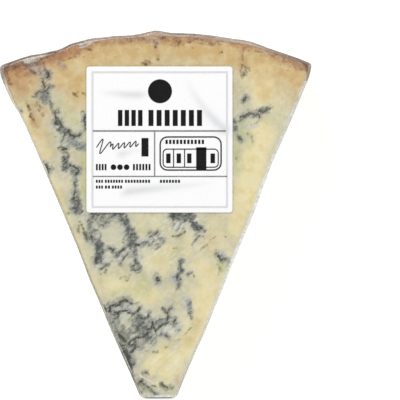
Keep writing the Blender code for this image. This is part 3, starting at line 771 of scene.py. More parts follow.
        ("rust", 2.0, 0.4, [(206, 42), (220, 44)]),
        ("tan", 2.0, 0.3, [(104, 50), (106, 54)]),
    ],
    "wire": [
        ("smear", 11.0, 1.0, [(145, 256), (158, 240), (164, 232)]),
        ("smear", 12.0, 1.0, [(176, 262), (190, 240), (204, 228)]),
        ("smear", 9.0, 0.9, [(148, 370), (160, 358), (172, 350)]),
        ("smear", 9.0, 0.7, [(100, 262), (118, 250), (130, 240)]),
        ("smear", 9.0, 0.6, [(178, 345), (196, 325)]),
        ("smear", 8.0, 0.6, [(150, 394), (170, 378)]),
        ("smear", 10.0, 0.5, [(240, 100), (260, 84)]),
    ],
    "curd": [
        ("warm", 7.0, 0.7, [(33, 140), (45, 172), (58, 205), (66, 222)]),
        ("warm", 7.0, 0.5, [(75, 242), (88, 272), (98, 292)]),
        ("warm", 10.0, 0.75, [(241, 205), (236, 228)]),
        ("warm", 12.0, 0.6, [(226, 262), (216, 285)]),
        ("warm", 13.0, 0.85, [(206, 296), (198, 322), (190, 350)]),
        ("green", 3.0, 0.35, [(209, 332), (202, 346)]),
        ("warm", 10.0, 0.7, [(112, 286), (128, 292), (150, 296)]),
        ("warm", 14.0, 0.95, [(262, 74), (264, 104)]),
        ("warm", 14.0, 0.95, [(262, 134), (254, 160), (246, 200)]),
        ("warm", 11.0, 0.75, [(202, 268), (210, 284)]),
        ("gold", 9.0, 0.22, [(204, 234), (214, 250)]),
        ("warm", 9.0, 0.35, [(214, 226), (220, 250)]),
        ("warm", 5.0, 0.5, [(190, 236), (188, 252)]),
        ("warm", 8.0, 0.5, [(150, 262), (168, 250), (160, 270)]),
        ("warm", 9.0, 0.5, [(162, 350), (176, 370), (165, 378)]),
        ("green", 7.0, 0.25, [(135, 224), (142, 232)]),
        ("warm", 5.0, 0.6, [(137, 222), (142, 232)]),
        ("green", 7.0, 0.5, [(142, 276), (146, 292)]),
        ("green", 8.0, 0.5, [(36, 98), (34, 106)]),
        ("green", 9.0, 0.5, [(62, 108), (72, 124)]),
        ("warm", 5.0, 0.4, [(153, 222), (159, 228)]),
    ],
}


def strokeMask(x, y, half, strength, route):
    # strength within the stroke, falling to nothing a little outside it
    mask = np.zeros(len(x))
    route = np.array(route, float)
    reach = 1.6 * half + 1.0
    low, high = route.min(axis=0) - reach, route.max(axis=0) + reach
    near = np.where((x > low[0]) & (x < high[0]) & (y > low[1]) & (y < high[1]))[0]
    closest = np.full(len(near), 1e9)
    for start, end in zip(route, route[1:] if len(route) > 1 else route):
        run = end - start
        along = ((x[near] - start[0]) * run[0] + (y[near] - start[1]) * run[1]) / max(run @ run, 1e-9)
        along = np.clip(along, 0.0, 1.0)
        closest = np.minimum(closest, np.hypot(x[near] - start[0] - along * run[0],
                                               y[near] - start[1] - along * run[1]))
    mask[near] = strength * smooth(1.45 * half + 0.3, 0.35 * half, closest)
    return mask


cheeseForm = {
    "low": wedgeLow.z + 0.3 * mm,
    "high": wedgeHigh.z - 0.25 * mm,
    "rindInset": 0.45 * mm,
    "sideInset": 0.3 * mm,
    "tipInset": 0.3 * mm,
    "rindCorner": 4.7 * mm,
    "tipCorner": 1.4 * mm,
    "rim": 0.4 * mm,
    "grain": 0.54 * mm,
    "edgeRun": 6.5 * mm,  # how far down the sides the upper face's veins run on
    # the strokes are made uneven: size, height and seed of each waver; down the sides: size, share, most
    "wavers": ((1.7 * mm, 0.28 * mm, 1.0), (0.7 * mm, 0.14 * mm, 6.0)),
    "sideWaver": (5.0 * mm, 0.6, 4.0 * mm),
    "coreWidth": 0.8,
    # blue beside a vein and bloom around both: times its width, pixels more, share of its strength
    "body": (1.6, 1.8, 0.5),
    "halo": (2.0, 3.0, 0.3),
    "haloBloom": 0.85,
    "network": 8.5 * mm,
    "pocket": 6.0 * mm,
    "veinDepth": 0.22 * mm,
    "sideVeinDepth": 0.3 * mm,
    "blueDepth": 0.1 * mm,
    "blueGrit": (0.7 * mm, 1.4),
    "curd": ((7.0 * mm, 0.10 * mm), (2.2 * mm, 0.05 * mm), (0.9 * mm, 0.035 * mm)),
    "crags": ((9.0 * mm, 0.45 * mm), (2.6 * mm, 0.35 * mm)),
    "cragRange": (-0.9 * mm, 0.1 * mm),
    "mostRise": 0.12 * mm,
    "goldDepth": 15.0 * mm,
    # the brown rind's depth in mm, and how much of it there is, by x in the picture
    "crust": ((0, 2.4), (40, 2.6), (60, 2.2), (100, 1.7), (150, 2.3), (190, 2.0), (220, 1.7), (246, 1.5),
              (262, 1.3), (285, 2.2), (315, 2.6)),
    "crustShare": ((0, 1.0), (85, 1.0), (105, 0.7), (150, 0.75), (175, 1.0), (240, 0.95), (256, 0.7),
                   (275, 1.0)),
    "crustEdge": ((2.5 * mm, 0.9 * mm, 8.0), (0.9 * mm, 0.6 * mm, 14.0)),
}


def sideVeins(points):
    # a network of open veins with blue pockets, for the faces that the picture doesn't show
    where = points + warpAt(points, 11.0 * mm, 4.0) * 2.0 * mm + warpAt(points, 2.4 * mm, 7.0) * 0.9 * mm
    web = np.abs(noiseAt(where, cheeseForm["network"], 2.0))
    share = smooth(-0.05, 0.35, noiseAt(points, 19.0 * mm, 9.0))
    broken = smooth(-0.25, 0.2, noiseAt(points, 2.6 * mm, 13.0))
    pocket = fractalAt(where, cheeseForm["pocket"], 5.0)
    return {
        "core": smooth(0.045, 0.01, web) * share * broken + smooth(0.7, 0.9, pocket),
        "blue": smooth(0.15, 0.03, web) * share * (0.45 + 0.4 * broken) + smooth(0.45, 0.75, pocket),
        "olive": smooth(0.09, 0.03, web) * smooth(0.15, -0.2, noiseAt(points, 15.0 * mm, 3.0)) * broken * 0.8,
        "bloom": smooth(0.34, 0.08, web) * share,
        "warm": 0.8 * smooth(0.25, -0.15, noiseAt(points, 16.0 * mm, 21.0)),
    }


def drawStrokes(points, masks):
    # the strokes of the upper face, with blue beside the veins and a pale bloom around both
    form = cheeseForm
    place = points.copy()
    for size, height, seed in form["wavers"]:
        place += warpAt(points, size, seed) * height
    size, share, most = form["sideWaver"]
    down = share * np.maximum(form["high"] - 0.5 * mm - points[:, 2], 0.0)
    place += warpAt(points, size, 16.0) * np.minimum(down, most)[:, None]
    x, y = toPicture(place)
    clear = np.ones(len(points))
    for kind, half, strength, route in (stroke for strokes in veinMap.values() for stroke in strokes):
        if kind == "core":
            half = half * form["coreWidth"]
            wider, more, share = form["body"]
            body = strokeMask(x, y, wider * half + more, share * strength, route)
            masks["blue"] = np.maximum(masks.get("blue", 0.0), body)
        masks[kind] = np.maximum(masks.get(kind, 0.0), strokeMask(x, y, half, strength, route))
        if kind in ("core", "blue"):
            wider, more, share = form["halo"]
            clear = clear * (1.0 - share * strokeMask(x, y, wider * half + more, strength, route))
    masks["bloom"] = np.maximum(masks["bloom"], form["haloBloom"] * (1.0 - clear))
    return x


def paintCheese(points):
    form = cheeseForm
    onTop = smooth(form["high"] - form["edgeRun"], form["high"] - 0.8 * mm, points[:, 2])
    masks = {}
    x = drawStrokes(points, masks)
    besides = sideVeins(points)
    for kind in masks:
        masks[kind] = masks[kind] * onTop + besides.get(kind, 0.0) * (1.0 - onTop)
    masks["smear"] = np.maximum(masks["smear"], 0.35 * (1.0 - onTop))

    # the brown rind, a golden band inside it, and no veins in the rind's own face
    radius, angle = polar(points)
    depth = wheel["radius"] - form["rindInset"] + rindSwell(angle) - radius
    depth = depth + sum(height * noiseAt(points, size, seed) for size, height, seed in form["crustEdge"])
    width = valueAt(form["crust"], x) * mm
    share = 1.0 - (1.0 - valueAt(form["crustShare"], x)) * onTop
    masks["crust"] = share * smooth(width + 1.0 * mm, width - 1.1 * mm, depth)
    drift = 3.0 * mm * noiseAt(points, 14.0 * mm, 12.0)
    masks["gold"] = np.maximum(masks["gold"], smooth(form["goldDepth"], 2.0 * mm, depth + drift))
    for kind in ("core", "blue", "olive", "bloom"):
        masks[kind] = masks[kind] * (onTop + (1.0 - onTop) * (1.0 - masks["crust"]))
    return masks, onTop


def giveWay(piece):
    # the cheese keeps clear of the film along the upper edges
    points = readPoints(piece)
    x, y = toPicture(points)
    radius, angle = polar(points)
    upper = smooth(cheeseForm["high"] - standOff["rindReach"], cheeseForm["high"], points[:, 2])
    reach = smooth(standOff["blend"], 0.0, wheel["radius"] - cheeseForm["rindInset"] - radius)
    inwards = upper * np.maximum(gapAlong("rind", x) - cheeseForm["rindInset"], 0.0) - rindSwell(angle)
    points -= awayFromMiddle(points) * (inwards * reach)[:, None]
    for side, which in ((-1.0, "left"), (1.0, "right")):
        reach = smooth(standOff["blend"], 0.0, sideDistance(points, side) - cheeseForm["sideInset"])
        inwards = upper * np.maximum(gapAlong(which, y) - cheeseForm["sideInset"], 0.0) * reach
        points[:, 0] -= side * math.cos(wheel["halfAngle"]) * inwards
        points[:, 1] += math.sin(wheel["halfAngle"]) * inwards
    writePoints(piece, points)


def makeCheese():
    form = cheeseForm
    piece = cutWedge("cheese", form)
    thinUnderside(piece)
    centres, facing = faceCentres(piece)
    margin = 1.0 * mm
    underLabel = (centres[:, 0] > labelLow.x + margin) & (centres[:, 0] < labelHigh.x - margin)
    underLabel &= (centres[:, 1] > labelLow.y + margin) & (centres[:, 1] < labelHigh.y - margin)
    cutFiner(piece, (facing[:, 2] > 0.9) & ~underLabel)
    bowIn(piece)
    giveWay(piece)

    points = readPoints(piece)
    masks, onTop = paintCheese(points)
    normals = readPoints(piece, "normal")
    move = np.zeros(len(points))
    for number, (size, height) in enumerate(form["curd"]):
        move += height * noiseAt(points, size, 20.0 + number)
    move -= (form["sideVeinDepth"] + (form["veinDepth"] - form["sideVeinDepth"]) * onTop) * masks["core"]
    size, share = form["blueGrit"]
    move -= form["blueDepth"] * masks["blue"] * (1.0 + share * noiseAt(points, size, 31.0))
    crags = sum(height * fractalAt(points, size, 40.0) for size, height in form["crags"])
    move += np.clip(crags - 0.25 * mm, *form["cragRange"]) * masks["crust"] * (1.0 - 0.6 * onTop)
    # the underside stays flat
    lifted = smooth(form["low"] + 0.1 * mm, form["low"] + 2.0 * mm, points[:, 2])
    points += normals * (np.minimum(move, form["mostRise"]) * lifted)[:, None]
    writePoints(piece, points)
    for name, values in masks.items():
        storeMask(piece, name, values)
    useModifier(piece, "TRIANGULATE")
    bpy.ops.object.shade_smooth()
    return piece


# Film

filmForm = {
    "low": wedgeLow.z,
    "high": wedgeHigh.z,
    "rindInset": 0.2 * mm,
    "sideInset": 0.0,
    "tipInset": 0.0,
    "rindCorner": 4.6 * mm,
    "tipCorner": 1.2 * mm,
    "rim": 0.5 * mm,
    "grain": 0.62 * mm,
    # wrinkles along the rind: length to width, width and height; pleats down its face: the same
    "streak": (16.0, 0.55 * mm, 0.035 * mm),
    "pleat": (5.0, 1.6 * mm, 0.12 * mm),
    "ripple": (5.0 * mm, 0.05 * mm),
    "follow": 0.35,  # the share of the cheese's open veins that the film sinks into
    "openVein": 1.2,  # half width in pixels of the least vein that it sinks into
    "mostRise": 0.3 * mm,
    "mostLift": 0.25 * mm,
    "clearHaze": 0.012,
    "lineHaze": 0.9,
    "streakShare": (0.85, 0.5),  # of the haze: everywhere, and more in the streaks
    # how far below the upper face the haze and the line fade out
    "hazeFade": (4.5 * mm, 0.8 * mm),
    "lineFade": (1.8 * mm, 0.6 * mm),
    # folds and creases: half width in pixels, height, milk (a painted glint along the fold), route in pixels
    "folds": {
        "tipCrease": (0.8, 0.03 * mm, 0.25, [(143, 377), (147, 380.5), (152, 382.5), (156, 383.7)]),
        "rightEdge": (2.4, 0.05 * mm, 0.5, [(232, 260), (228, 274), (221, 292)]),
        "rindLeft": (1.5, 0.04 * mm, 0.8, [(25, 61.3), (30, 59.8), (34, 57.6)]),
        "rindLeftTail": (0.6, 0.02 * mm, 0.7, [(33, 58), (40, 55.3), (47, 52.4)]),
        "rindLeftLow": (0.7, 0.02 * mm, 0.6, [(27, 63), (33, 61), (39, 57.8)]),
        "rindShoulder": (1.2, 0.04 * mm, 0.8, [(80, 44.5), (87, 42), (95, 40.4)]),
        "rindShoulderLow": (0.9, 0.03 * mm, 0.75, [(80, 47.5), (85, 46.6), (91, 43.8)]),
        "rindRight": (0.7, 0.02 * mm, 0.6, [(228, 38.6), (236, 40.6), (244, 42.6)]),
    },
    # edges, by x along the rind and the tip and by y along the cuts: strength of the milky band, partly a
    # painted highlight, and its least width in pixels, strength of the thin painted dark outer line and its
    # width, and how pale the milk is; the pale milk is a painted highlight
    "edges": {
        "rind": {
            "hazeAndHighlight": ((0, 0.1), (16, 0.12), (28, 0.5), (38, 0.35), (46, 0.1), (72, 0.12), (80, 0.42),
                     (95, 0.42), (102, 0.1), (145, 0.06), (160, 0.25), (175, 0.04), (205, 0.12),
                     (226, 0.6), (242, 0.6), (258, 0.35), (275, 0.2), (300, 0.12), (315, 0.1)),
            "width": 1.0,
            "line": ((0, 0.45), (4, 0.55), (9, 0.9), (22, 0.95), (32, 0.9), (40, 0.55), (50, 0.9), (62, 0.75),
                     (75, 1.0), (90, 0.45), (105, 0.5), (120, 0.6), (150, 0.65), (180, 0.9), (210, 0.5),
                     (230, 0.3), (250, 0.45), (280, 0.8), (300, 0.85), (309, 0.5), (315, 0.45)),
            "lineWidth": 0.75 * mm,
            "pale": 0.0,
        },
        "left": {
            "hazeAndHighlight": ((60, 0.5), (72, 0.75), (88, 0.7), (100, 0.5), (160, 0.45), (298, 0.4), (308, 0.15),
                     (316, 0.7), (342, 0.7), (352, 0.03), (372, 0.03), (385, 0.3)),
            "width": 2.2,
            "line": ((60, 0.45), (72, 0.3), (85, 0.3), (150, 0.1), (180, 0.5), (260, 0.5), (300, 0.6),
                     (340, 0.6), (352, 1.0), (374, 1.0), (390, 0.8)),
            "lineWidth": 0.55 * mm,
            "pale": 1.0,
        },
        "right": {
            "hazeAndHighlight": ((60, 0.5), (76, 0.75), (90, 0.7), (200, 0.95), (240, 0.9), (262, 0.9), (290, 0.75),
                     (320, 0.55), (390, 0.5)),
            "width": 4.3,
            "line": ((60, 0.4), (90, 0.25), (200, 0.0), (300, 0.05), (340, 0.25), (390, 0.5)),
            "lineWidth": 0.45 * mm,
            "pale": 1.0,
        },
        "tip": {
            "hazeAndHighlight": ((130, 0.3), (150, 0.5), (158, 1.1), (168, 1.1), (180, 0.7)),
            "width": 5.0,
            "line": ((130, 0.9), (160, 1.0), (170, 0.8), (180, 0.7)),
            "lineWidth": 0.5 * mm,
            "pale": 0.9,
        },
    },
}


# the film's painted marks: milk that is partly a painted highlight, a painted dark edge line, and the
# paleness of the milk, also a painted highlight
filmMasks = ("hazeAndHighlight", "line", "pale")


def edgeMilkAndPaintedLight(points):
    # milkiness, partly a painted highlight; the thin painted dark outer line; and the paleness of the milk, a
    # painted highlight
    x, y = toPicture(points)
    radius, angle = polar(points)
    bend = filmForm["rindCorner"]
    rind = wheel["radius"] - filmForm["rindInset"] + rindSwell(angle) - radius
    tip = points[:, 1] - wheel["centreY"] - wheel["tipDistance"]
    # around the rind's rounded corners the edge is nearer than the wheel's own circle
    for side in (-1.0, 1.0):
        pastRind = np.maximum(bend - rind, 0.0)
        pastSide = np.maximum(bend - sideDistance(points, side), 0.0)
        inCorner = (pastRind > 0.0) & (pastSide > 0.0)
        rind = np.where(inCorner, np.minimum(rind, bend - np.hypot(pastRind, pastSide)), rind)
    places = {
        "rind": (rind, gapAlong("rind", x), x),
        "left": (sideDistance(points, -1.0) - bowAt(points, -1.0), gapAlong("left", y), y),
        "right": (sideDistance(points, 1.0) - bowAt(points, 1.0), gapAlong("right", y), y),
        "tip": (tip, 0.0, x),
    }
    hazeAndHighlight, line, pale = np.zeros((3, len(points)))
    for name, (inside, gap, position) in places.items():
        edge = filmForm["edges"][name]
        width = np.maximum(gap, edge["width"] * picture["pixel"])
        band = valueAt(edge["hazeAndHighlight"], position) * smooth(1.25 * width, 0.3 * width, inside)
        pale = np.where(band > hazeAndHighlight, edge["pale"], pale)
        hazeAndHighlight = np.maximum(hazeAndHighlight, band)
        thin = smooth(edge["lineWidth"], 0.5 * edge["lineWidth"], inside)
        line = np.maximum(line, valueAt(edge["line"], position) * thin)
    return hazeAndHighlight, line, pale


def makeFilm():
    form = filmForm
    piece = cutWedge("film", form)
    thinUnderside(piece)
    cutFiner(piece, faceCentres(piece)[1][:, 2] > 0.5)
    bowIn(piece)
    points = readPoints(piece)
    x, y = toPicture(points)
    radius, angle = polar(points)
    height, fromRind = points[:, 2], wheel["radius"] - radius
    onTop = smooth(form["high"] - 1.5 * mm, form["high"] - 0.3 * mm, height)
    nearRind = smooth(4.5 * mm, 1.0 * mm, fromRind)
    points += awayFromMiddle(points) * (rindSwell(angle) * smooth(standOff["blend"], 0.0, fromRind))[:, None]

    # wrinkles run along the rind, and down its face as shallow pleats
    around = np.radians(angle) * wheel["radius"]
    long, width, rise = form["streak"]
    streaks = noiseAt(np.column_stack((around / long, radius, height)), width, 50.0)
    move = rise * streaks * nearRind * onTop
    size, rise = form["ripple"]
    move += rise * noiseAt(points, size, 52.0) * (0.3 + 0.7 * (1.0 - onTop))
    long, width, rise = form["pleat"]
    pleats = noiseAt(np.column_stack((around, radius, height / long)), width, 53.0)
    move += rise * pleats * (1.0 - onTop) * nearRind

    # milky where it stands off or folds, the milk partly a painted highlight and the folds' milk a painted
    # glint, with a thin painted dark line around the outer edge
    hazeAndHighlight, line, pale = edgeMilkAndPaintedLight(points)
    even, streaky = form["streakShare"]
    deep, shallow = form["hazeFade"]
    hazeAndHighlight *= (even + streaky * streaks) * smooth(form["high"] - deep, form["high"] - shallow, height)
    deep, shallow = form["lineFade"]
    line *= smooth(form["high"] - deep, form["high"] - shallow, height)
    hazeAndHighlight = np.maximum(hazeAndHighlight, form["lineHaze"] * line) + form["clearHaze"]
    # the folds' milk is a painted glint
    for half, lift, strength, route in form["folds"].values():
        drawn = strokeMask(x, y, half, 1.0, route) * onTop
        hazeAndHighlight = np.maximum(hazeAndHighlight, strength * drawn)
        move += lift * drawn
    veins = np.zeros(len(points))
    for kind, half, strength, route in (stroke for strokes in veinMap.values() for stroke in strokes):
        if kind == "core" and half > form["openVein"]:
            veins = np.maximum(veins, strokeMask(x, y, half, strength, route))
    move -= form["follow"] * cheeseForm["veinDepth"] * veins * onTop
    # the underside stays flat
    lifted = smooth(form["low"] + 0.1 * mm, form["low"] + 2.0 * mm, height)
    points += readPoints(piece, "normal") * (np.minimum(move, form["mostRise"]) * lifted)[:, None]
    points[:, 2] = np.minimum(points[:, 2], form["high"] + form["mostLift"])
    writePoints(piece, points)
    for name, values in zip(filmMasks, (hazeAndHighlight, line, pale)):
        storeMask(piece, name, values)
    useModifier(piece, "TRIANGULATE")
    bpy.ops.object.shade_smooth()
    return piece


# Price label: a sheet of paper with soft wrinkles, and plain generic print

labelPaper = {
    "side": 36.5 * mm,
    "corner": 0.7 * mm,
    "cells": 73,
    "under": 0.06 * mm,  # above the film
    "thickness": 0.16 * mm,
    "centreX": 159.5,  # in the picture
    "centreY": 139.5,
    "tones": ("#ffffff", "#fcfcfc"),
    # the grey of the shade painted into the dents
    "dentPaintedShadeTone": "#dddee0",
    "fibre": 0.6 * mm,
    "satin": 0.45,
    # painted soft shade in the dents, as routes of x, y, half width, strength in pixels
    "dentPaintedShades": [
        [(96, 92, 2.5, 0.0), (110, 93, 3.0, 0.35), (126, 94.5, 3.6, 0.75), (138, 95, 3.8, 0.85),
         (152, 94, 3.5, 0.0)],
        [(184, 76, 3.0, 0.0), (194, 94, 3.6, 0.35), (205, 110, 4.0, 0.6), (216, 122, 4.4, 0.9),
         (224, 128, 4.2, 0.8), (230, 136, 3.5, 0.1)],
        [(208, 135, 2.5, 0.0), (224, 132, 3.0, 0.5), (230, 128, 3.0, 0.2)],
        [(114, 157, 3.0, 0.0), (122, 154, 4.0, 0.7), (132, 151, 3.0, 0.3), (160, 149, 3.0, 0.0)],
        [(118, 196, 3.0, 0.0), (128, 191.5, 4.4, 0.85), (146, 189.5, 4.2, 0.8), (172, 187, 3.6, 0.45),
         (196, 184.5, 3.0, 0.3), (218, 182, 2.5, 0.0)],
    ],
    # the wrinkles themselves, as routes of x, y, half width, height in mm
    "wrinkles": [
        [(98, 88, 7.0, 0.0), (126, 89, 8.0, 0.12), (150, 91, 7.0, 0.0)],
        [(190, 72, 7.0, 0.0), (208, 100, 8.0, 0.12), (226, 118, 7.0, 0.1), (232, 128, 6.0, 0.0)],
        [(112, 150, 6.0, 0.0), (128, 147, 6.0, 0.05), (155, 145, 6.0, 0.0)],
        [(118, 190, 7.0, 0.0), (140, 184, 8.0, 0.1), (180, 180, 7.0, 0.06), (216, 177, 6.0, 0.0)],
    ],
}


def softRoute(x, y, route):
    # a soft ridge whose width and strength change from point to point
    ridge = np.zeros(len(x))
    route = np.array(route, float)
    for start, end in zip(route, route[1:]):
        run = (end - start)[:2]
        along = np.clip(((x - start[0]) * run[0] + (y - start[1]) * run[1]) / (run @ run), 0.0, 1.0)
        away = np.hypot(x - start[0] - along * run[0], y - start[1] - along * run[1])
        half = start[2] + along * (end[2] - start[2])
        ridge = np.maximum(ridge, (start[3] + along * (end[3] - start[3])) * bell(away, 0.0, half))
    return ridge


def labelHeight(x, y):
    height = sum(softRoute(x, y, route) for route in labelPaper["wrinkles"])
    return wedgeHigh.z + labelPaper["under"] + height * mm


# how much grey shade is painted where the paper dips beside the wrinkles
def dentPaintedShadeAt(x, y):
    return np.clip(sum(softRoute(x, y, route) for route in labelPaper["dentPaintedShades"]), 0.0, 1.0)


def settleOnLabel(piece, lift):
    points = readPoints(piece)
    x, y = toPicture(points)
    points[:, 2] = labelHeight(x, y) + lift
    writePoints(piece, points)


def makeLabel():
    deselectAll()
    side, corner = labelPaper["side"], labelPaper["corner"]
    bpy.ops.mesh.primitive_grid_add(
        x_subdivisions=labelPaper["cells"],
        y_subdivisions=labelPaper["cells"],
        size=side,
    )
    piece = bpy.context.active_object
    piece.name = piece.data.name = "label_sheet"
    points = readPoints(piece)
    core = side / 2 - corner
    over = np.maximum(np.abs(points[:, :2]) - core, 0.0)
    reach = np.hypot(over[:, 0], over[:, 1])
    shrink = np.where(reach > corner, corner / np.maximum(reach, 1e-9), 1.0)
    level = np.sign(points[:, :2]) * (np.minimum(np.abs(points[:, :2]), core) + over * shrink[:, None])
    c, s = math.cos(picture["turn"]), math.sin(picture["turn"])
    x, y = toObject(labelPaper["centreX"], labelPaper["centreY"])
    points[:, 0] = x + level[:, 0] * c + level[:, 1] * s
    points[:, 1] = y - level[:, 0] * s + level[:, 1] * c
    writePoints(piece, points)
    settleOnLabel(piece, 0.0)
    useModifier(piece, "SOLIDIFY", thickness=labelPaper["thickness"], offset=1.0)
    storeMask(piece, "dentPaintedShade", dentPaintedShadeAt(*toPicture(readPoints(piece))))
    useModifier(piece, "TRIANGULATE")
    bpy.ops.object.shade_smooth_by_angle(angle=math.radians(40.0))
    return piece


# Print, in pixels of the picture
printForm = {
    "step": 0.6 * mm,  # longest cell of a bar, so that it follows the wrinkles
    "fineStep": 0.1 * mm,
    "thickness": 0.02 * mm,
    "lift": 0.03 * mm,
    # bars: left, top, right, bottom
    "bars": {
        "print_black": [
            (141.5, 138, 148.5, 156.5),
            (173.1, 149.5, 174.1, 167),
            (184.1, 149.5, 185.1, 167),
            (196.2, 147.3, 206.4, 169.5),
        ],
        "print_grey": [
            (93, 130.2, 227, 131.8),
            (93, 175.8, 227, 177.1),
            (154, 131.8, 155.3, 175.8),
        ],
        "print_pale": [
            (91.5, 71.3, 228, 73.3),
            (91.5, 206, 228, 208),
            (91.5, 73.3, 93.5, 206),
            (226, 73.3, 228, 206),
        ],
    },
    # rows of plain blocks where a label has lines of type: left, top, right, bottom, blocks, share filled
    "rows": [
        (118, 110, 142.5, 126, 4, 0.66),
        (148.5, 110, 202, 126, 7, 0.62),
        (96, 164, 106.5, 170.3, 4, 0.62),
        (133, 164, 150.5, 170.3, 6, 0.6),
        (165.5, 139.8, 204, 144, 11, 0.62),
        (166.2, 153.5, 191.5, 163.2, 3, 0.42),
        (210.5, 153.5, 215, 163.2, 1, 1.0),
        (96, 179.8, 103, 182.8, 3, 0.66),
        (105, 179.8, 123, 182.8, 7, 0.66),
        (125, 179.8, 150, 182.8, 9, 0.66),
        (96, 185.6, 103, 188.6, 3, 0.66),
        (105, 185.6, 110, 188.6, 2, 0.66),
        (112, 185.6, 122, 188.6, 4, 0.66),
        (160, 179.8, 180, 182.8, 7, 0.66),
    ],
    # discs: middle and radius
    "discs": ((160, 91.3, 12.0), (113.5, 167.2, 2.8), (120, 167.2, 2.8), (126.6, 167.2, 2.8)),
    # rounded frames: left, top, right, bottom, corner, width of the line
    "frames": ((159.5, 136.3, 221.8, 170.8, 8.0, 1.4), (162.6, 148.6, 218.8, 167.8, 4.5, 1.1)),
    # wavy strokes: left, y, right, rise to the right, length of a wave, then height at both ends
    "waves": ((96.5, 147.5, 110, 1.0, 9.0, 9.0, 4.0), (110, 147.0, 137, 3.5, 5.4, 2.8, 2.8)),
    "waveWidth": 1.0,
    "waveSlant": 0.5,
    # where the paper took less ink, and where it took it well
    "inkGrain": 0.5 * mm,
    "inks": {
        "print_black": ("#161617", "#0b0b0c"),
        "print_grey": ("#999999", "#848484"),
        "print_pale": ("#e5e5e8", "#dddee1"),
    },
}


def printPiece(name, shapes):
    selectOnly(shapes[0])
    for shape in shapes:
        shape.select_set(True)
    if len(shapes) > 1:
        bpy.ops.object.join()
    piece = bpy.context.active_object
    piece.name = piece.data.name = name
    settleOnLabel(piece, labelPaper["thickness"] + printForm["lift"])
    useModifier(piece, "SOLIDIFY", thickness=printForm["thickness"], offset=1.0)
    useModifier(piece, "TRIANGULATE")
    bpy.ops.object.transform_apply(location=True, rotation=True, scale=True)
    return piece


def newBar(left, top, right, bottom, step=printForm["step"]):
    deselectAll()
    width, height = (right - left) * picture["pixel"], (bottom - top) * picture["pixel"]
    x, y = toObject((left + right) / 2, (top + bottom) / 2)
    bpy.ops.mesh.primitive_grid_add(
        x_subdivisions=max(1, math.ceil(width / step)),
        y_subdivisions=max(1, math.ceil(height / printForm["step"])),
        size=1.0,
        location=(x, y, 0.0),
        rotation=(0.0, 0.0, -picture["turn"]),
    )
    piece = bpy.context.active_object
    piece.scale = (width, height, 1.0)
    bpy.ops.object.transform_apply(location=True, rotation=True, scale=True)
    return piece


def newRow(left, top, right, bottom, count, filled):
    pitch = (right - left) / (count - 1 + filled)
    return [newBar(left + pitch * k, top, left + pitch * (k + filled), bottom) for k in range(count)]


def newDisc(x, y, radius):
    deselectAll()
    place = toObject(x, y)
    bpy.ops.mesh.primitive_circle_add(
        vertices=40,
        radius=radius * picture["pixel"],
        fill_type="TRIFAN",
        location=(place[0], place[1], 0.0),
    )
    bpy.ops.object.transform_apply(location=True, rotation=True, scale=True)
    bpy.ops.object.mode_set(mode="EDIT")
    bpy.ops.mesh.select_all(action="SELECT")
    bpy.ops.mesh.subdivide(number_cuts=max(1, int(radius * picture["pixel"] / printForm["step"])))
    bpy.ops.object.mode_set(mode="OBJECT")
    return bpy.context.active_object


def newFrame(left, top, right, bottom, corner, width):
    # an outline with rounded corners; its long edges are cut, to follow the wrinkles
    piece = newBar(left, top, right, bottom)
    bpy.ops.object.mode_set(mode="EDIT")
    bpy.ops.mesh.select_all(action="SELECT")
    bpy.ops.mesh.dissolve_limited(angle_limit=math.radians(1.0))
    bpy.ops.mesh.select_all(action="SELECT")
    bpy.ops.mesh.bevel(offset=corner * picture["pixel"], segments=6, affect="VERTICES")
    bpy.ops.mesh.select_all(action="SELECT")
    bpy.ops.mesh.inset(thickness=width * picture["pixel"])
    bpy.ops.mesh.delete(type="FACE")
    bpy.ops.object.mode_set(mode="OBJECT")
    selectEdges(piece, lambda a, b: (a - b).length > 2.0 * mm)
    bpy.ops.mesh.subdivide(number_cuts=24)
    bpy.ops.object.mode_set(mode="OBJECT")
    return piece


def newWave(left, y, right, rise, length, startHeight, endHeight):
    # a plain slanted wavy stroke, as a ribbon of even width
    half = printForm["waveWidth"] / 2
    piece = newBar(left, y - half, right, y + half, printForm["fineStep"])
    points = readPoints(piece)
    x, side = toPicture(points)
    side = side - y

    def middleLine(share):
        height = startHeight + (endHeight - startHeight) * share
        lift = height * np.sin(share * (right - left) / length * 2.0 * math.pi) + rise * share
        return left + (right - left) * share + printForm["waveSlant"] * lift, y - lift

    share = (x - left) / (right - left)
    here, ahead = middleLine(share), middleLine(share + 0.001)
    run = np.hypot(ahead[0] - here[0], ahead[1] - here[1])
    points[:, 0], points[:, 1] = toObject(
        here[0] - side * (ahead[1] - here[1]) / run,
        here[1] + side * (ahead[0] - here[0]) / run,
    )
    writePoints(piece, points)
    return piece


def makePrint():
    shapes = {name: [newBar(*bar) for bar in bars] for name, bars in printForm["bars"].items()}
    black = shapes["print_black"]
    for row in printForm["rows"]:
        black += newRow(*row)
    black += [newDisc(*disc) for disc in printForm["discs"]]
    black += [newFrame(*outline) for outline in printForm["frames"]]
    black += [newWave(*wave) for wave in printForm["waves"]]
    return {name: printPiece(name, parts) for name, parts in shapes.items()}


# Materials

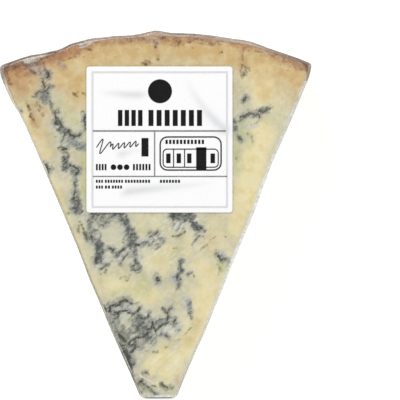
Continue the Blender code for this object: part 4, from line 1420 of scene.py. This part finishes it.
cheeseLook = {
    "base": "#d6d0b0",
    # the cutting wire smeared the curd slantwise, in streaks about 1 mm wide and 3 mm long
    "wireTurn": math.radians(-38.0),
    "smeared": (0.42, 1.0, 0.7),
    "veined": (0.5, 1.0, 0.8),
    "alongWire": ("bloom", "blue", "core", "white"),
    # size, detail and roughness of each noise
    "noises": {
        "mottle": (6.0 * mm, 3.0, 0.55),
        "grain": (0.9 * mm, 4.0, 0.65),
        "smear": (0.75 * mm, 4.0, 0.6),
        "crumbsAndGlints": (0.55 * mm, 4.0, 0.7),
        "threads": (0.9 * mm, 4.0, 0.7),
        "stretches": (8.0 * mm, 5.0, 0.65),
        "dust": (11.0 * mm, 6.0, 0.72),
        "cracks": (6.0 * mm, 6.0, 0.65),
        "pits": (1.6 * mm, 3.0, 0.6),
        "spots": (1.0 * mm, 2.0, 0.5),
    },
    # these show where their noise crosses its middle
    "ridged": ("threads", "cracks"),
    # where details show: mask, its two levels, the share that shows at each
    "places": {
        "wired": ("smear", 0.0, 1.0, 0.15, 0.9),
        "crust": ("crust", 0.0, 1.0, 0.0, 1.0),
        "beside": ("gold", 0.75, 1.0, 0.0, 1.0),
        "mouldy": ("blue", 0.2, 0.7, 0.0, 1.0),
        "heart": ("blue", 0.25, 0.8, 0.0, 1.0),
    },
    # the rind's upright face begins between these depths; the share that its details keep above it
    "faceDepths": (3.0 * mm, 0.5 * mm),
    "faceShare": 0.15,
    # noise, its two levels, how much shows at the second, place, colour
    "details": {
        "curd": [
            ("mottle", 0.35, 0.65, 1.0, None, "#c3bd9c"),
            ("grain", 0.5, 0.8, 0.5, None, "#b5ae88"),
            ("grain", 0.5, 0.25, 0.5, None, "#e0dbbf"),
            ("smear", 0.53, 0.7, 0.8, "wired", "#efebd4"),
            ("smear", 0.44, 0.3, 0.8, "wired", "#a6a27e"),
        ],
        # dry rind: darker and paler stretches, grey dust, cracks and pits, and rusty spots beside it
        "crust": [
            ("stretches", 0.45, 0.6, 0.7, "face", "#8b6d52"),
            ("dust", 0.5, 0.6, 0.75, "face", "#b7a997"),
            ("cracks", 0.018, 0.004, 0.6, "crust", "#664c37"),
            ("pits", 0.36, 0.26, 0.6, "crust", "#664c37"),
            ("spots", 0.66, 0.72, 0.65, "beside", "#9a6b4b"),
        ],
        # pale flecks in the mould, partly crumbs and partly painted highlight specks, and dark threads
        "blue": [
            ("crumbsAndGlints", 0.58, 0.68, 0.6, "mouldy", "#d8d8cb"),
            ("threads", 0.05, 0.01, 0.4, "heart", "#474a40"),
        ],
    },
    # what lies over the cream, from the bottom up: two colours, the size they mix at, how ragged it is,
    # and the two levels between which it shows (None: it fades in softly)
    "layers": {
        "warm": ("#efe4b9", "#ddcf9b", 3.2 * mm, 0.35, None),
        "green": ("#c5c594", "#b7b987", 2.0 * mm, 0.5, None),
        "gold": ("#d5b880", "#c9ab73", 3.0 * mm, 0.3, None),
        "tan": ("#c39d6b", "#b48a5c", 1.4 * mm, 0.5, None),
        "crust": ("#ba926b", "#a67d59", 1.1 * mm, 0.35, None),
        "amber": ("#ba8a5c", "#a4754d", 2.0 * mm, 0.35, None),
        "pale": ("#d6d4bb", "#cac8ad", 1.5 * mm, 0.4, None),
        "bloom": ("#cbccc2", "#b1b3a9", 1.2 * mm, 0.6, None),
        "slate": ("#a3a8ad", "#8d9299", 1.0 * mm, 0.6, None),
        "mauve": ("#b8a494", "#9b887a", 0.8 * mm, 0.9, (0.1, 1.1)),
        "rust": ("#8f6848", "#694930", 0.7 * mm, 0.9, (0.15, 1.0)),
        "olive": ("#8f8d5c", "#6e6c42", 0.7 * mm, 0.9, (0.2, 0.95)),
        "blue": ("#8d928d", "#595e59", 0.7 * mm, 0.9, (0.0, 0.95)),
        "core": ("#2d2f27", "#45483e", 0.45 * mm, 1.0, (0.27, 0.95)),
        # white: partly pale curd streaks, partly painted highlights where the film glints
        "white": ("#f0ecdd", "#e0ddce", 0.8 * mm, 0.5, (0.3, 1.15)),
    },
    "crumbRelief": 2.5,  # of the mould, beside the curd's own grain
}

filmLook = {
    # what lies under it is given as seen, so it is made brighter by one and darker by the other
    "loss": 1.1,
    "veil": 0.016,
    "ripple": 1.2 * mm,
    "glint": 0.14,
    # the milk, partly a painted highlight, and the painted dark outer line, dull and pale; the pale milk is a
    # painted highlight
    "milkAndHighlight": ("#dad5ca", "#f8faf6"),
    "line": ("#6b6258", "#6b7069"),
    # how uneven the milk is, dull and pale: share of it at its thinnest and at its thickest
    "thinnest": (0.6, 0.85),
    "thickest": (1.3, 1.1),
}


def toLinear(hexColour):
    parts = [int(hexColour[i:i + 2], 16) / 255.0 for i in (1, 3, 5)]
    return tuple(p / 12.92 if p <= 0.04045 else ((p + 0.055) / 1.055) ** 2.4 for p in parts) + (1.0,)


def addNode(tree, kind, inputs, out=None, **settings):
    # fills its inputs, by name or in their order, and gives the output asked for or else the first one
    node = tree.nodes.new("ShaderNode" + kind)
    for key, value in settings.items():
        setattr(node, key, value)
    if isinstance(inputs, dict):
        sockets = [node.inputs[key] for key in inputs]
        inputs = list(inputs.values())
    else:
        sockets = [socket for socket in node.inputs if socket.enabled]
    for socket, value in zip(sockets, inputs):
        if isinstance(value, bpy.types.NodeSocket):
            tree.links.new(value, socket)
        else:
            socket.default_value = toLinear(value) if isinstance(value, str) else value
    if out:
        return node.outputs[out]
    return next((socket for socket in node.outputs if socket.enabled), None)


def newMaterial(name):
    material = bpy.data.materials.new(name)
    material.use_nodes = True
    material.node_tree.nodes.clear()
    return material, material.node_tree


def throughFilm(hexColour):
    # colours are given as seen, and the film takes some of the light and adds a faint sheen
    parts = [part * filmLook["loss"] - filmLook["veil"] for part in toLinear(hexColour)[:3]]
    return tuple(max(part, 0.0) for part in parts) + (1.0,)


def blueCheese():
    # Moist pressed curd, cut with a wire: cream, softly mottled, with grey-blue mould in open veins
    look = cheeseLook
    material, tree = newMaterial("veined curd")
    coords = addNode(tree, "TexCoord", {}, "Object")
    turn = {"Vector": coords, "Angle": look["wireTurn"]}
    turned = addNode(tree, "VectorRotate", turn, rotation_type="Z_AXIS")
    smeared = addNode(tree, "Mapping", {"Vector": turned, "Scale": look["smeared"]})
    veined = addNode(tree, "Mapping", {"Vector": turned, "Scale": look["veined"]})
    noises = {}
    for name, (size, detail, roughness) in look["noises"].items():
        lie = smeared if name == "smear" else coords
        noises[name] = addNode(tree, "TexNoise", (lie, 1.0 / size, detail, roughness))
    for name in look["ridged"]:
        aside = addNode(tree, "Math", (noises[name], 0.5), operation="SUBTRACT")
        noises[name] = addNode(tree, "Math", (aside,), operation="ABSOLUTE")

    masks = {name: addNode(tree, "Attribute", {}, "Fac", attribute_name=name) for name in look["layers"]}
    masks["smear"] = addNode(tree, "Attribute", {}, "Fac", attribute_name="smear")
    places = {}
    for name, (mask, *levels) in look["places"].items():
        places[name] = addNode(tree, "MapRange", (masks[mask], *levels))
    deep, shallow = (cheeseForm["high"] - depth for depth in look["faceDepths"])
    height = addNode(tree, "SeparateXYZ", (coords,), "Z")
    upright = addNode(tree, "MapRange", (height, deep, shallow, 1.0, look["faceShare"]))
    places["face"] = addNode(tree, "Math", (masks["crust"], upright), operation="MULTIPLY", use_clamp=True)

    coats = []

    def addDetails(group):
        for name, low, high, most, place, tone in look["details"][group]:
            share = addNode(tree, "MapRange", (noises[name], low, high, 0.0, most))
            if place:
                share = addNode(tree, "Math", (share, places[place]), operation="MULTIPLY", use_clamp=True)
            coats.append((share, throughFilm(tone)))

    addDetails("curd")
    for name, (light, dark, size, ragged, levels) in look["layers"].items():
        lie = veined if name in look["alongWire"] else coords
        own = addNode(tree, "TexNoise", (lie, 1.0 / size, 4.0, 0.6))
        share = addNode(tree, "MapRange", (own, 0.38, 0.62))
        tone = addNode(tree, "Mix", (share, throughFilm(light), throughFilm(dark)), data_type="RGBA")
        if levels:
            wander = addNode(tree, "MapRange", (own, 0.3, 0.7, -0.5 * ragged, 0.5 * ragged))
            present = addNode(tree, "MapRange", (masks[name], 0.02, 0.2))
            cover = addNode(tree, "Math", (masks[name], wander), operation="ADD")
            cover = addNode(tree, "MapRange", (cover, *levels))
        else:
            present = addNode(tree, "MapRange", (own, 0.35, 0.65, 1.0 - ragged, 1.0 + ragged))
            cover = masks[name]
        cover = addNode(tree, "Math", (cover, present), operation="MULTIPLY", use_clamp=True)
        coats.append((cover, tone))
        if name in look["details"]:
            addDetails(name)
    colour = throughFilm(look["base"])
    for share, tone in coats:
        colour = addNode(tree, "Mix", (share, colour, tone), data_type="RGBA")

    # the crumb stands out in the mould
    crumbled = addNode(tree, "Math", (masks["blue"], noises["crumbsAndGlints"]), operation="MULTIPLY", use_clamp=True)
    crumbled = addNode(tree, "Math", (crumbled, look["crumbRelief"]), operation="MULTIPLY")
    relief = addNode(tree, "Math", (noises["grain"], noises["smear"]), operation="ADD")
    relief = addNode(tree, "Math", (relief, crumbled), operation="ADD")
    bump = addNode(tree, "Bump", {"Strength": 0.6, "Distance": 0.25 * mm, "Height": relief})
    curd = {"Base Color": colour, "Roughness": 0.5, "IOR": 1.45, "Normal": bump}
    addNode(tree, "OutputMaterial", (addNode(tree, "BsdfPrincipled", curd),))
    return material


def vacuumFilm():
    # Clear shrink film: unseen where it clings, milky where it stands off or folds, with sharp glints; the
    # milk is partly a painted highlight, paler on the cuts and tip, and a thin dark outer line is painted
    look = filmLook
    material, tree = newMaterial("clear vacuum film")
    coords = addNode(tree, "TexCoord", {}, "Object")
    fine = addNode(tree, "TexNoise", (coords, 1.0 / look["ripple"], 3.0, 0.55))
    bump = addNode(tree, "Bump", {"Strength": 0.35, "Distance": 0.15 * mm, "Height": fine})
    # a film this thin mirrors alike from both sides: 4% straight on, all of it edge on
    facing = addNode(tree, "LayerWeight", {"Blend": 0.5, "Normal": bump}, "Facing")
    edgeOn = addNode(tree, "Math", (facing, 5.0), operation="POWER")
    sheen = addNode(tree, "MapRange", (edgeOn, 0.0, 1.0, 0.04, 1.0))
    clear = addNode(tree, "BsdfTransparent", {"Color": "#ffffff"})
    gloss = addNode(tree, "BsdfGlossy", {"Color": "#ffffff", "Roughness": look["glint"], "Normal": bump})
    skin = addNode(tree, "MixShader", (sheen, clear, gloss))
    hazeAndHighlight, line, pale = (addNode(tree, "Attribute", {}, "Fac", attribute_name=name) for name in filmMasks)
    milkAndHighlightTone = addNode(tree, "Mix", (pale, *look["milkAndHighlight"]), data_type="RGBA")
    lineTone = addNode(tree, "Mix", (pale, *look["line"]), data_type="RGBA")
    inLine = addNode(tree, "MapRange", (line, 0.0, 0.5))
    tone = addNode(tree, "Mix", (inLine, milkAndHighlightTone, lineTone), data_type="RGBA")
    milkAndHighlight = addNode(tree, "BsdfPrincipled", {"Base Color": tone, "Roughness": 0.3, "IOR": 1.5, "Normal": bump})
    thinnest = addNode(tree, "MapRange", (pale, 0.0, 1.0, *look["thinnest"]))
    thickest = addNode(tree, "MapRange", (pale, 0.0, 1.0, *look["thickest"]))
    uneven = addNode(tree, "MapRange", (fine, 0.3, 0.7, thinnest, thickest))
    share = addNode(tree, "Math", (hazeAndHighlight, uneven), operation="MULTIPLY", use_clamp=True)
    addNode(tree, "OutputMaterial", (addNode(tree, "MixShader", (share, skin, milkAndHighlight)),))
    return material


def labelStock():
    # Coated label paper: clean white, a faint satin sheen and hardly any fibre, with grey shade painted into
    # the dents
    material, tree = newMaterial("coated label paper")
    coords = addNode(tree, "TexCoord", {}, "Object")
    fibre = addNode(tree, "TexNoise", (coords, 1.0 / labelPaper["fibre"], 3.0, 0.55))
    bump = addNode(tree, "Bump", {"Strength": 0.05, "Distance": 0.02 * mm, "Height": fibre})
    dentPaintedShade = addNode(tree, "Attribute", {}, "Fac", attribute_name="dentPaintedShade")
    share = addNode(tree, "MapRange", (fibre, 0.3, 0.7))
    tone = addNode(tree, "Mix", (share, *labelPaper["tones"]), data_type="RGBA")
    # grey shade painted into the dents
    tone = addNode(tree, "Mix", (dentPaintedShade, tone, labelPaper["dentPaintedShadeTone"]), data_type="RGBA")
    paper = {"Base Color": tone, "Roughness": labelPaper["satin"], "Normal": bump}
    addNode(tree, "OutputMaterial", (addNode(tree, "BsdfPrincipled", paper),))
    return material


def ink(name, light, dark):
    # Thermal and offset ink: matt, a little uneven where the paper took less of it
    material, tree = newMaterial(name)
    coords = addNode(tree, "TexCoord", {}, "Object")
    grain = addNode(tree, "TexNoise", (coords, 1.0 / printForm["inkGrain"], 3.0, 0.55))
    share = addNode(tree, "MapRange", (grain, 0.4, 0.7))
    tone = addNode(tree, "Mix", (share, dark, light), data_type="RGBA")
    matt = {"Base Color": tone, "Roughness": 0.7, "Specular IOR Level": 0.2}
    addNode(tree, "OutputMaterial", (addNode(tree, "BsdfPrincipled", matt),))
    return material


def paleFloor():
    # Matt white studio sheet, faintly lit from below so that it stays white beside the wedge
    material, tree = newMaterial("white studio sheet")
    coords = addNode(tree, "TexCoord", {}, "Object")
    cloud = addNode(tree, "TexNoise", (coords, 1.0 / studio["sheetCloud"], 3.0, 0.55))
    sheet = {
        "Base Color": addNode(tree, "Mix", (cloud, "#ffffff", "#fdfdfd"), data_type="RGBA"),
        "Roughness": 0.8,
        "Emission Color": "#ffffff",
        "Emission Strength": studio["sheetGlow"],
    }
    addNode(tree, "OutputMaterial", (addNode(tree, "BsdfPrincipled", sheet),))
    return material


def finishWith(piece, material):
    piece.data.materials.clear()
    piece.data.materials.append(material)


cheese = makeCheese()
finishWith(cheese, blueCheese())
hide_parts("cheese_wedge")
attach(cheese, "root")
print("cheese made:", len(cheese.data.polygons), "triangles")

film = makeFilm()
finishWith(film, vacuumFilm())
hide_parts("cheese_wedge")
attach(film, "root")
print("film made:", len(film.data.polygons), "triangles")

label = makeLabel()
finishWith(label, labelStock())
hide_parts("label")
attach(label, "root")
for name, printed in makePrint().items():
    finishWith(printed, ink(name.replace("_", " "), *printForm["inks"][name]))
    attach(printed, "root")
print("label and print made")

# Studio: a white sheet, three soft boxes well off the upright so that the film keeps clear, dim surround
studio = {
    "floor": -0.3 * mm,
    "sheetGlow": 0.32,
    "sheetCloud": 40.0 * mm,
    "surround": 0.42,
    # from where (degrees round from +X, degrees up), distance, side of the box, power
    "boxes": {
        "key": (128.0, 55.0, 1.3, 0.55, 6.3),
        "right": (15.0, 52.0, 1.4, 0.6, 3.3),
        "front": (-75.0, 55.0, 1.4, 0.6, 3.3),
    },
    "lens": 360.0,
    "distance": 1.0,
    "aim": (10.87 * mm, 3.46 * mm),
}


def addBox(name, around, up, distance, side, power):
    lamp = bpy.data.lights.new(name, "AREA")
    lamp.shape = "SQUARE"
    lamp.size = side
    lamp.energy = power
    box = bpy.data.objects.new(name, lamp)
    flat = distance * math.cos(math.radians(up))
    box.location = (
        flat * math.cos(math.radians(around)),
        flat * math.sin(math.radians(around)),
        distance * math.sin(math.radians(up)),
    )
    box.rotation_euler = (-box.location).to_track_quat("-Z", "Y").to_euler()
    box.visible_camera = False
    bpy.context.collection.objects.link(box)


deselectAll()
bpy.ops.mesh.primitive_plane_add(size=4.0, location=(0.0, 0.0, studio["floor"]))
floor = bpy.context.active_object
floor.name = floor.data.name = "studio_sheet"
finishWith(floor, paleFloor())
for name, values in studio["boxes"].items():
    addBox(name, *values)
world = bpy.data.worlds.new("surround")
world.use_nodes = True
backdrop = world.node_tree.nodes["Background"]
backdrop.inputs["Color"].default_value = (1.0, 1.0, 1.0, 1.0)
backdrop.inputs["Strength"].default_value = studio["surround"]
bpy.context.scene.world = world
bpy.context.scene.view_settings.view_transform = "Standard"

lens = bpy.data.cameras.new("camera")
lens.lens = studio["lens"]
lens.sensor_width = 36.0
lens.clip_end = 10.0
camera = bpy.data.objects.new("camera", lens)
camera.location = (studio["aim"][0], studio["aim"][1], wedgeHigh.z + studio["distance"])
camera.rotation_euler = (0.0, 0.0, -picture["turn"])
bpy.context.collection.objects.link(camera)
bpy.context.scene.camera = camera
print("studio set")
